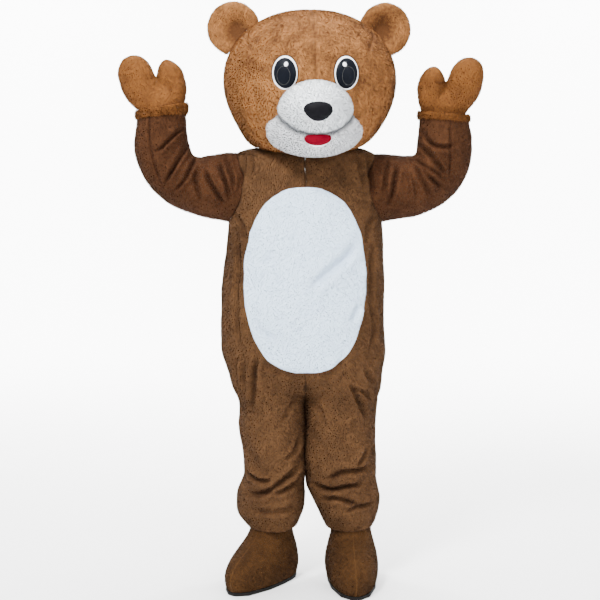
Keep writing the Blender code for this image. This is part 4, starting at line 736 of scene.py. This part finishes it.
def mark_covered(piece, own, clear):
    """Material 3 on the faces that carry no hairs: those another piece lies on or meets."""
    mesh = piece.data
    lowest, highest = (Vector(c) for c in (piece.bound_box[0], piece.bound_box[6]))
    others = []
    for name in nodes.keys():
        low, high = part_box(name)
        spans = zip(lowest, highest, low, high)
        if name != own and all(a < d + 0.02 and c < b + 0.02 for a, b, c, d in spans):
            others.append(node_tree(name))
    beside_these = [node_tree(name) for name in clear]
    for face in mesh.polygons:
        if face.material_index != 0:
            continue
        start = face.center
        if any(tree.find_nearest(start, 0.0040)[0] is not None for tree in beside_these):
            face.material_index = 3
            continue
        for tree in others:
            hit = tree.ray_cast(start - face.normal * 0.0014, face.normal, 0.0080)
            if hit[0] is not None and hit[1].dot(face.normal) < 0:
                face.material_index = 3
                break


def hairy(piece):
    """The faces of a finished piece that carry hairs."""
    bm = bmesh.new()
    bm.from_mesh(piece.data)
    drop = [face for face in bm.faces if face.material_index != 0]
    bmesh.ops.delete(bm, geom=drop, context="FACES")
    return bm


def grow(piece, look_name, material, centre=None):
    """The pile on a finished piece, as a piece of its own."""
    look = PILES[look_name]
    name = piece.name + "_pile"
    pile = put(name, hairy(piece), [])
    tree_name = look_name + "_pile" + ("" if centre is None else "_round")
    tree = bpy.data.node_groups.get(tree_name) or pile_tree(tree_name, look, centre)
    pile.modifiers.new("pile", "NODES").node_group = tree
    settle(pile)
    mesh = pile.data
    mesh.materials.clear()
    mesh.materials.append(material)
    lie = np.empty(len(mesh.vertices) * 3, np.float32)
    mesh.attributes["lie"].data.foreach_get("vector", lie)
    lie = lie.reshape(-1, 3)
    lie /= np.maximum(np.linalg.norm(lie, axis=1), 1e-6)[:, None]
    mesh.shade_smooth()
    mesh.normals_split_custom_set_from_vertices(lie)
    mesh.attributes.remove(mesh.attributes["lie"])
    return pile


def walls_of(materials):
    """A plush piece's materials: its outside, its lining, its cut edges and what is covered."""
    base = materials["base"]
    return [base, materials["lining"], base, base]


def dress(cloth, materials, folds=(), unevenness=0.0, clear=()):
    """One cut piece in rounded plush, with its pile."""
    bm = cad_copy(cloth.node)
    mark_walls(bm, cloth.finish == "cuff", HEAD_WALL if cloth.finish == "head" else CLOTH_WALL)
    piece = put(cloth.node + "_plush", bm, walls_of(materials))
    rounded(piece)
    mark_covered(piece, cloth.node, clear)
    if folds:
        refine(piece, folds, 0.0058)
    if folds or unevenness:
        crumple(piece, folds, unevenness)
    mark_seam_and_crease_shade(piece, folds)
    pile = grow(piece, cloth.finish, materials["pile"])
    for made in (piece, pile):
        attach(made, "costume")
    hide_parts(cloth.node)
    return piece


def hollow(piece, middle, radius, depth, front_only):
    """Presses a soft hollow into a piece and returns how deep each point went, from 0 to 1."""
    points = points_of(piece.data).astype(float)
    away = points[:, (0, 2)] - middle
    inside = np.exp(-((away**2).sum(1) / radius**2) ** 1.5)
    if front_only:
        normals = np.array([vert.normal for vert in piece.data.vertices])
        inside *= eased(-normals[:, 1] * 1.6)
    points[:, 1] += depth * inside
    piece.data.vertices.foreach_set("co", points.astype(np.float32).ravel())
    piece.data.update()
    return inside


def mark_join_shade(piece, others, reach, inside=None):
    """Stores painted shade on a stuffed piece: how near each point is to the pieces it is sewn to, and how deep it
    lies in its hollow.
    """
    mesh = piece.data
    near = np.zeros(len(mesh.vertices)) if inside is None else inside * 0.9
    trees = [node_tree(name) for name in others]
    for i, vert in enumerate(mesh.vertices):
        for tree in trees:
            found = tree.find_nearest(vert.co, reach)
            if found[0] is not None:
                near[i] = max(near[i], 1 - found[3] / reach)
    layer = mesh.attributes.new("seam", "FLOAT", "POINT")
    layer.data.foreach_set("value", near.astype(np.float32))


def stuffed(node, finish, materials, centre=None, clear=(), joins=(), dip=None):
    """One stuffed piece in rounded plush, with its pile."""
    piece = put(node + "_plush", cad_copy(node), walls_of(materials))
    rounded(piece)
    mark_covered(piece, node, clear)
    inside = hollow(piece, *dip) if dip else None
    # The joins and the pressed hollow are stored for painted shade.
    mark_join_shade(piece, joins, 0.012, inside)
    pile = grow(piece, finish, materials["pile"], centre)
    for made in (piece, pile):
        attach(made, "costume")
    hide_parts(node)
    return piece


def finish_of(name, root, tip, mottle=0.7, seam_shade=-0.40, level=0.45, crease=0.0):
    return {
        "base": plush_material(name + "_plush", root, tip, False, mottle, seam_shade, level, crease),
        "pile": plush_material(name + "_pile", root, tip, True, mottle, seam_shade, level, crease),
        "lining": bpy.data.materials.get("plush_backing") or lining_material(),
    }


def shade(name, description, default):
    return FloatVectorProperty(
        name=name, description=description, default=default, subtype="COLOR", size=3, min=0, max=1
    )


class PlushSettings(bpy.types.PropertyGroup):
    # Each root colour is the dark end of the plush's mottling and also painted shade at the roots between the hairs.
    suit_root: shade("Suit Root", "Shade of the suit's plush at its roots", (0.030, 0.0135, 0.0056))
    suit_tip: shade("Suit Tip", "Shade of the suit's plush at its tips", (0.112, 0.054, 0.0220))
    # The sleeves' shades are the suit's plush darkened: painted shade.
    sleeve_shaded_root: shade("Sleeve Root", "Shade of the sleeves' plush at its roots", (0.0215, 0.0072, 0.0026))
    sleeve_shaded_tip: shade("Sleeve Tip", "Shade of the sleeves' plush at its tips", (0.080, 0.032, 0.0125))
    head_root: shade("Head Root", "Shade of the head's plush at its roots", (0.080, 0.031, 0.0105))
    head_tip: shade("Head Tip", "Shade of the head's plush at its tips", (0.318, 0.134, 0.042))
    mitt_root: shade("Mitt Root", "Shade of the mitts' plush at its roots", (0.074, 0.0265, 0.0076))
    mitt_tip: shade("Mitt Tip", "Shade of the mitts' plush at its tips", (0.215, 0.082, 0.020))
    boot_root: shade("Boot Root", "Shade of the boots' plush at its roots", (0.019, 0.0078, 0.0025))
    boot_tip: shade("Boot Tip", "Shade of the boots' plush at its tips", (0.069, 0.030, 0.0085))
    white_root: shade("White Root", "Shade of the white plush at its roots", (0.52, 0.55, 0.61))
    white_tip: shade("White Tip", "Shade of the white plush at its tips", (0.95, 0.98, 1.0))
    belly_root: shade("Belly Root", "Shade of the belly's plush at its roots", (0.36, 0.46, 0.66))
    belly_tip: shade("Belly Tip", "Shade of the belly's plush at its tips", (0.70, 0.86, 1.0))
    # The jaw's shades are the white plush darkened: painted shade under the muzzle.
    jaw_shaded_root: shade("Jaw Root", "Shade of the jaw's plush at its roots", (0.30, 0.31, 0.33))
    jaw_shaded_tip: shade("Jaw Tip", "Shade of the jaw's plush at its tips", (0.90, 0.905, 0.925))


class FaceSettings(bpy.types.PropertyGroup):
    eye_wide: FloatProperty(
        name="Eye Width", description="Half the width of an eye plate", default=0.041, unit="LENGTH"
    )
    eye_high: FloatProperty(
        name="Eye Height", description="Half the height of an eye plate", default=0.054, unit="LENGTH"
    )
    outline: FloatProperty(
        name="Eye Outline", description="Radius of the dark cord round an eye", default=0.0016,
        unit="LENGTH",
    )
    mouth: shade("Mouth Felt", "Colour of the mouth", (0.150, 0.0006, 0.0100))


class StudioSettings(bpy.types.PropertyGroup):
    floor: shade("Floor", "Colour of the floor", (0.90, 0.90, 0.90))
    lens: FloatProperty(
        name="Lens", description="Focal length on a 36 mm sensor", default=72.8, min=10.0
    )
    camera_height: FloatProperty(
        name="Camera Height", description="Height of the camera above the floor", default=1.45,
        unit="LENGTH",
    )
    distance: FloatProperty(
        name="Distance", description="From the camera to the costume's middle", default=4.0,
        unit="LENGTH",
    )


class COSTUME_OT_suit(bpy.types.Operator):
    """Round and fold the suit, its sleeves, cuffs and belly, and grow their pile"""

    bl_idname = "costume.suit"
    bl_label = "Sew Suit"

    def execute(self, context):
        shades = context.scene.plush
        finishes = {
            "suit": finish_of("suit", shades.suit_root, shades.suit_tip),
            # The sleeves use a darker copy of the suit's plush: painted shade.
            "sleeve": finish_of("sleeve", shades.sleeve_shaded_root, shades.sleeve_shaded_tip),
            "cuff": finish_of("cuff", shades.mitt_root, shades.mitt_tip),
            "belly": finish_of("belly", shades.belly_root, shades.belly_tip, 0.3, -0.5, 0.80),
        }
        for cloth in SUIT_CLOTH:
            dress(cloth, finishes[cloth.finish], FOLDS, 0.0040)
        return {"FINISHED"}


class COSTUME_OT_mitts(bpy.types.Operator):
    """Round the mitts and grow their pile"""

    bl_idname = "costume.mitts"
    bl_label = "Sew Mitts"

    def execute(self, context):
        shades = context.scene.plush
        materials = finish_of("mitt", shades.mitt_root, shades.mitt_tip)
        for cloth in MITT_CLOTH:
            dress(cloth, materials, MITT_FOLDS, 0.0040)
        return {"FINISHED"}


class COSTUME_OT_boots(bpy.types.Operator):
    """Round the boot covers, grow their pile and finish the soles"""

    bl_idname = "costume.boots"
    bl_label = "Sew Boots"

    def execute(self, context):
        shades = context.scene.plush
        materials = finish_of("boot", shades.boot_root, shades.boot_tip, 0.7, 0.5)
        for cloth in BOOT_CLOTH:
            dress(cloth, materials)
        material, graph, shader = new_material("sole_rubber_black", Roughness=0.62)
        shader.inputs["Specular IOR Level"].default_value = 0.08
        coords = graph.coords()
        grain = noise(graph, coords, 350.0)
        dust = noise(graph, coords, 14.0)
        bump = graph.bump(0.4, 0.0006, grain)
        feed(
            graph, shader, Normal=bump, Roughness=0.5 + dust * 0.3,
            Base_Color=graph.mix(dust, (0.003, 0.003, 0.003, 1), (0.010, 0.009, 0.008, 1)),
        )
        for side in ("left", "right"):
            node = nodes["sole_" + side]
            node.data.materials.clear()
            node.data.materials.append(material)
        return {"FINISHED"}


class COSTUME_OT_head(bpy.types.Operator):
    """Round the head and its ears and grow their pile"""

    bl_idname = "costume.head"
    bl_label = "Sew Head"

    def execute(self, context):
        shades = context.scene.plush
        materials = finish_of("head", shades.head_root, shades.head_tip, 1.2, -0.20)
        # The ears use the head's plush with stronger painted shade in their hollows.
        ears = finish_of("ear", shades.head_root, shades.head_tip, 1.2, -0.65)
        for cloth in HEAD_CLOTH:
            dress(cloth, materials, HEAD_FOLDS, clear=("eye_white_left", "eye_white_right"))
        for node in EARS:
            low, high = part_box(node.replace("back", "front"))
            side = -1 if "left" in node else 1
            middle = ((low[0] + high[0]) / 2 - side * 0.014, (low[2] + high[2]) / 2 - 0.014)
            stuffed(node, "head", ears, dip=(middle, 0.043, 0.013, "back" in node))
        return {"FINISHED"}


def eye_frame(side):
    """Matrix of one eye: x across it, y into the head, z up."""
    out, front, height = EYE_PLACE
    local = Matrix.Translation((side * out, front, height)) @ Matrix.Rotation(side * EYE_TURN, 4, "Z")
    head = Matrix.Translation((HEAD_MIDDLE.x, 0, FLOOR)) @ Matrix.Rotation(HEAD_TURN, 4, "Z")
    return head @ local


def eye_surface(x, z, wide, high):
    """Depth of the eye's dome at a point of its face."""
    inside = max(0.0, 1 - (x / wide) ** 2 - (z / high) ** 2)
    return 1.9 * x * x + 2.1 * z * z - 0.0150 * math.sqrt(inside)


def plate(name, settings, centre, wide, high, thick, sink, material, matrix, lean=0.0):
    """An oval plate that follows the eye's dome, with a rounded edge."""
    bm = bmesh.new()
    bmesh.ops.create_uvsphere(bm, u_segments=64, v_segments=24, radius=1.0)
    bmesh.ops.rotate(bm, verts=bm.verts, cent=(0, 0, 0), matrix=UPRIGHT)
    spin = Matrix.Rotation(lean, 3, "Y")
    for vert in bm.verts:
        u, depth, v = vert.co
        flat = spin @ Vector((u * wide, 0, v * high))
        x, z = flat.x + centre[0], flat.z + centre[1]
        surface = eye_surface(x, z, settings.eye_wide, settings.eye_high)
        edge = min(1.0, math.hypot(u, v))
        rise = thick * (1 - edge**6) if depth < 0 else -sink * (1 - edge**6)
        vert.co = matrix @ Vector((x, surface - rise, z))
    bmesh.ops.recalc_face_normals(bm, faces=bm.faces)
    piece = put(name, bm, [material])
    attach(piece, "costume")
    return piece


class COSTUME_OT_face(bpy.types.Operator):
    """Make the muzzle, jaw, mouth, nose and eyes"""

    bl_idname = "costume.face"
    bl_label = "Make Face"

    def execute(self, context):
        shades = context.scene.plush
        settings = context.scene.face
        white = finish_of("muzzle", shades.white_root, shades.white_tip, 0.35, -0.9, 1.05, 0.85)
        # The jaw is the white plush made darker, painted shade under the muzzle; where muzzle and jaw meet both are
        # darkened towards black, painted shade in the crease.
        shaded_white = finish_of("jaw", shades.jaw_shaded_root, shades.jaw_shaded_tip, 0.35, -0.9, 0.85, 0.85)
        stuffed("muzzle", "shag", white, NOSE_TIP, ("tongue",), ("jaw",))
        stuffed("jaw", "shag", shaded_white, NOSE_TIP, ("tongue",), ("muzzle",))
        self.mouth(settings)
        self.nose()
        self.eyes(settings)
        return {"FINISHED"}

    def mouth(self, settings):
        dark = Vector(settings.mouth) * 0.6
        material, graph, shader = new_material("mouth_felt_red", Roughness=0.95)
        shader.inputs["Specular IOR Level"].default_value = 0.04
        coords = graph.coords()
        fibres = noise(graph, coords, 420.0, 4.0)
        bump = graph.bump(0.5, 0.0012, fibres)
        base = graph.mix(fibres, colour(dark), colour(settings.mouth))
        feed(graph, shader, Normal=bump, Base_Color=base)
        piece = put("tongue_felt", cad_copy("tongue"), [material])
        rounded(piece)
        points = points_of(piece.data)
        middle = points[:, 0].mean()
        points[:, 0] = middle + (points[:, 0] - middle) * 1.18
        points[:, 1] -= 0.0090
        piece.data.vertices.foreach_set("co", points.ravel())
        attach(piece, "costume")
        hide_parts("tongue")

    def nose(self):
        material, graph, shader = new_material("nose_black_satin", Roughness=0.6)
        shader.inputs["Specular IOR Level"].default_value = 0.06
        coords = graph.coords()
        weave = graph.node(
            "ShaderNodeTexWave", {"wave_type": "BANDS", "bands_direction": "DIAGONAL"},
            {"Vector": coords, "Scale": 320.0, "Distortion": 0.6, "Detail": 1.0},
        )
        bump = graph.bump(0.15, 0.0004, weave)
        shine = noise(graph, coords, 40.0)
        feed(
            graph, shader, Normal=bump, Roughness=0.50 + shine * 0.25,
            Base_Color=graph.mix(shine, (0.0012, 0.0012, 0.0020, 1), (0.0035, 0.0035, 0.0050, 1)),
        )
        piece = put("nose_satin_pad", cad_copy("nose"), [material])
        rounded(piece, 2)
        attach(piece, "costume")
        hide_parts("nose")

    def eyes(self, settings):
        gloss, graph, shader = new_material("eye_plate_white", Roughness=0.35)
        coords = graph.coords()
        tint = noise(graph, coords, 60.0)
        feed(graph, shader, Base_Color=graph.mix(tint, (0.82, 0.83, 0.86, 1), (0.90, 0.90, 0.92, 1)))
        black, graph, shader = new_material("eye_plate_black", Roughness=0.5)
        shader.inputs["Specular IOR Level"].default_value = 0.06
        coords = graph.coords()
        tint = noise(graph, coords, 45.0)
        feed(
            graph, shader, Roughness=0.42 + tint * 0.12,
            Base_Color=graph.mix(tint, (0.0012, 0.0018, 0.0035, 1), (0.0026, 0.0036, 0.0070, 1)),
        )
        faint, graph, shader = new_material("eye_ring_grey", Roughness=0.6)
        coords = graph.coords()
        tint = noise(graph, coords, 150.0)
        base = graph.mix(tint, (0.022, 0.022, 0.020, 1), (0.040, 0.040, 0.036, 1))
        feed(graph, shader, Base_Color=base)
        for side, word in ((-1, "left"), (1, "right")):
            matrix = eye_frame(side)
            wide, high = settings.eye_wide, settings.eye_high
            white = plate(
                "eye_plate_" + word, settings, (0, 0), wide, high, 0.0, 0.012, gloss, matrix
            )
            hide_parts("eye_white_" + word)
            pupil = plate(
                "pupil_plate_" + word, settings, (-side * 0.0015, 0), *PUPIL_HALF, 0.0016, 0.0006,
                black, matrix, side * PUPIL_LEAN,
            )
            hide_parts("pupil_" + word)
            spot = (0.009 - 0.002 if side < 0 else -0.009 - 0.002, 0.026)
            glint = plate(
                "glint_plate_" + word, settings, spot, *GLINT_HALF, 0.0030, -0.0010, gloss, matrix
            )
            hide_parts("glint_" + word)
            rim = (wide + 0.0002, high + 0.0002)
            edge = self.cord(settings, matrix, (0, 0), rim, settings.outline, -0.0035)
            ring = self.cord(settings, matrix, (side * 0.001, -0.008), RING_HALF, 0.0006, None)
            for name, made, material in (("eye_outline_", edge, black), ("eye_ring_", ring, faint)):
                piece = put(name + word, made, [material])
                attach(piece, "costume")

    def cord(self, settings, matrix, centre, size, radius, rise):
        """A thin oval cord: round the plate at a fixed rise, or on the face of the pupil."""
        bm = bmesh.new()
        bmesh.ops.create_circle(bm, segments=6, radius=radius)
        ring = bm.verts[:]
        bmesh.ops.rotate(bm, verts=ring, cent=(0, 0, 0), matrix=UPRIGHT)
        bmesh.ops.translate(bm, verts=ring, vec=(1, 0, 0))
        bmesh.ops.spin(
            bm, geom=bm.verts[:] + bm.edges[:], cent=(0, 0, 0), axis=(0, 1, 0), dvec=(0, 0, 0),
            angle=math.tau, steps=72, use_merge=True,
        )
        for vert in bm.verts:
            at = math.atan2(vert.co.z, vert.co.x)
            out = math.hypot(vert.co.x, vert.co.z) - 1
            x = (size[0] + out) * math.cos(at) + centre[0]
            z = (size[1] + out) * math.sin(at) + centre[1]
            if rise is None:
                depth = eye_surface(x, z, settings.eye_wide, settings.eye_high) - 0.0016
            else:
                depth = 1.9 * x * x + 2.1 * z * z + rise
            vert.co = matrix @ Vector((x, depth + vert.co.y, z))
        bmesh.ops.recalc_face_normals(bm, faces=bm.faces)
        return bm


class COSTUME_OT_zip(bpy.types.Operator):
    """Set the zip's teeth and finish its slider and tab"""

    bl_idname = "costume.zip"
    bl_label = "Set Zip"

    def execute(self, context):
        nylon, graph, shader = new_material("zip_teeth_nylon", Roughness=0.45)
        coords = graph.coords()
        tint = noise(graph, coords, 90.0)
        base = graph.mix(tint, (0.040, 0.016, 0.007, 1), (0.075, 0.032, 0.014, 1))
        feed(graph, shader, Base_Color=base)
        brass, graph, shader = new_material("zip_aged_brass", Metallic=1.0, Roughness=0.4)
        coords = graph.coords()
        wear = noise(graph, coords, 220.0)
        feed(
            graph, shader, Roughness=0.28 + wear * 0.3,
            Base_Color=graph.mix(wear, (0.22, 0.15, 0.08, 1), (0.46, 0.34, 0.19, 1)),
        )
        chain = nodes["zip_chain"].data
        outer = sorted({(round(v.co.z, 4), round(v.co.y, 4)) for v in chain.vertices})
        heights = sorted({z for z, _ in outer})
        depths = [max(y for z, y in outer if z == at) for at in heights]
        lowest, highest = heights[0] + 0.003, heights[-1] - 0.003
        bm = bmesh.new()
        count = int((highest - lowest) / 0.0016)
        for i in range(count):
            z = lowest + (highest - lowest) * i / (count - 1)
            y = float(np.interp(z, heights, depths))
            side = 1 if i % 2 else -1
            tooth = bmesh.ops.create_cube(bm, size=1.0)["verts"]
            bmesh.ops.scale(bm, vec=(0.0034, 0.0018, 0.0012), verts=tooth)
            bmesh.ops.translate(bm, vec=(side * 0.0007, y - 0.0012, z), verts=tooth)
        bmesh.ops.bevel(
            bm, geom=bm.edges[:], affect="EDGES", offset=0.0003, segments=1, profile=0.5, material=-1
        )
        teeth = put("zip_teeth", bm, [nylon])
        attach(teeth, "costume")
        tape, graph, shader = new_material("zip_woven_tape", Roughness=0.9)
        coords = graph.coords()
        weave = graph.node(
            "ShaderNodeTexWave", {"wave_type": "BANDS", "bands_direction": "Z"},
            {"Vector": coords, "Scale": 420.0, "Distortion": 0.4},
        )
        bump = graph.bump(0.4, 0.0004, weave)
        feed(
            graph, shader, Normal=bump,
            Base_Color=graph.mix(weave, (0.030, 0.012, 0.005, 1), (0.060, 0.025, 0.011, 1)),
        )
        strip = put("zip_tape", cad_copy("zip_chain"), [tape])
        inset = strip.modifiers.new("thin", "BEVEL")
        inset.width = 0.0003
        inset.segments = 1
        settle(strip)
        points = points_of(strip.data)
        points[:, 1] -= 0.0012
        strip.data.vertices.foreach_set("co", points.ravel())
        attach(strip, "costume")
        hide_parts("zip_chain")
        for name in ("zip_slider", "zip_pull"):
            nodes[name].data.materials.clear()
            nodes[name].data.materials.append(brass)
        return {"FINISHED"}


class COSTUME_OT_studio(bpy.types.Operator):
    """Make the floor, lights and camera"""

    bl_idname = "costume.studio"
    bl_label = "Set Studio"

    def execute(self, context):
        settings = context.scene.studio
        scene = context.scene
        material, graph, shader = new_material("studio_floor", Roughness=0.9)
        coords = graph.coords()
        tint = noise(graph, coords, 1.5)
        light = Vector(settings.floor)
        feed(graph, shader, Base_Color=graph.mix(tint, colour(light * 0.985), colour(light)))
        bm = bmesh.new()
        bmesh.ops.create_grid(bm, x_segments=2, y_segments=2, size=STUDIO_REACH)
        bmesh.ops.translate(bm, verts=bm.verts, vec=(0, 0, FLOOR - 0.0005))
        far = [edge for edge in bm.edges if edge.is_boundary and all(v.co.y > STUDIO_REACH - 0.1 for v in edge.verts)]
        raised = bmesh.ops.extrude_edge_only(bm, edges=far)["geom"]
        rim = [item for item in raised if isinstance(item, bmesh.types.BMVert)]
        bmesh.ops.translate(bm, verts=rim, vec=(0, 0, STUDIO_REACH))
        floor = put("studio_floor", bm, [material])
        bend = floor.modifiers.new("curve", "BEVEL")
        bend.width = 2.5
        bend.segments = 16
        bend.limit_method = "ANGLE"
        world = bpy.data.worlds.new("studio_world")
        world.use_nodes = True
        world.node_tree.nodes["Background"].inputs["Color"].default_value = (1.0, 1.0, 1.0, 1)
        world.node_tree.nodes["Background"].inputs["Strength"].default_value = 1.60
        scene.world = world
        for light in LIGHTS:
            data = bpy.data.lights.new(light.name, "AREA")
            data.shape = "DISK"
            data.size = light.size
            data.energy = light.power
            lamp = bpy.data.objects.new(light.name, data)
            lamp.location = light.place
            toward = Vector(light.aim) - Vector(light.place)
            lamp.rotation_euler = toward.to_track_quat("-Z", "Y").to_euler()
            scene.collection.objects.link(lamp)
        data = bpy.data.cameras.new("photo_camera")
        data.lens = settings.lens
        data.sensor_width = 36.0
        camera = bpy.data.objects.new("photo_camera", data)
        camera.location = (CAMERA_ASIDE, -settings.distance, settings.camera_height + FLOOR)
        camera.rotation_euler = (math.radians(90 - CAMERA_PITCH), 0, 0)
        scene.collection.objects.link(camera)
        scene.camera = camera
        return {"FINISHED"}


class COSTUME_PT_panel(bpy.types.Panel):
    """The costume's settings and steps"""

    bl_idname = "COSTUME_PT_panel"
    bl_label = "Bear Costume"
    bl_space_type = "VIEW_3D"
    bl_region_type = "UI"
    bl_category = "Costume"

    def draw(self, context):
        scene = context.scene
        for group in (scene.plush, scene.face, scene.studio):
            box = self.layout.box()
            for name in group.__annotations__:
                box.prop(group, name)
        for step in STEPS:
            self.layout.operator(step.bl_idname)


STEPS = [
    COSTUME_OT_suit,
    COSTUME_OT_mitts,
    COSTUME_OT_boots,
    COSTUME_OT_head,
    COSTUME_OT_face,
    COSTUME_OT_zip,
    COSTUME_OT_studio,
]
CLASSES = [PlushSettings, FaceSettings, StudioSettings, *STEPS, COSTUME_PT_panel]


def register():
    for item in CLASSES:
        bpy.utils.register_class(item)
    bpy.types.Scene.plush = PointerProperty(type=PlushSettings)
    bpy.types.Scene.face = PointerProperty(type=FaceSettings)
    bpy.types.Scene.studio = PointerProperty(type=StudioSettings)


def unregister():
    del bpy.types.Scene.plush
    del bpy.types.Scene.face
    del bpy.types.Scene.studio
    for item in reversed(CLASSES):
        bpy.utils.unregister_class(item)


def main():
    register()
    bpy.ops.costume.suit()
    bpy.ops.costume.mitts()
    bpy.ops.costume.boots()
    bpy.ops.costume.head()
    bpy.ops.costume.face()
    bpy.ops.costume.zip()
    bpy.ops.costume.studio()


if __name__ == "__main__":
    main()
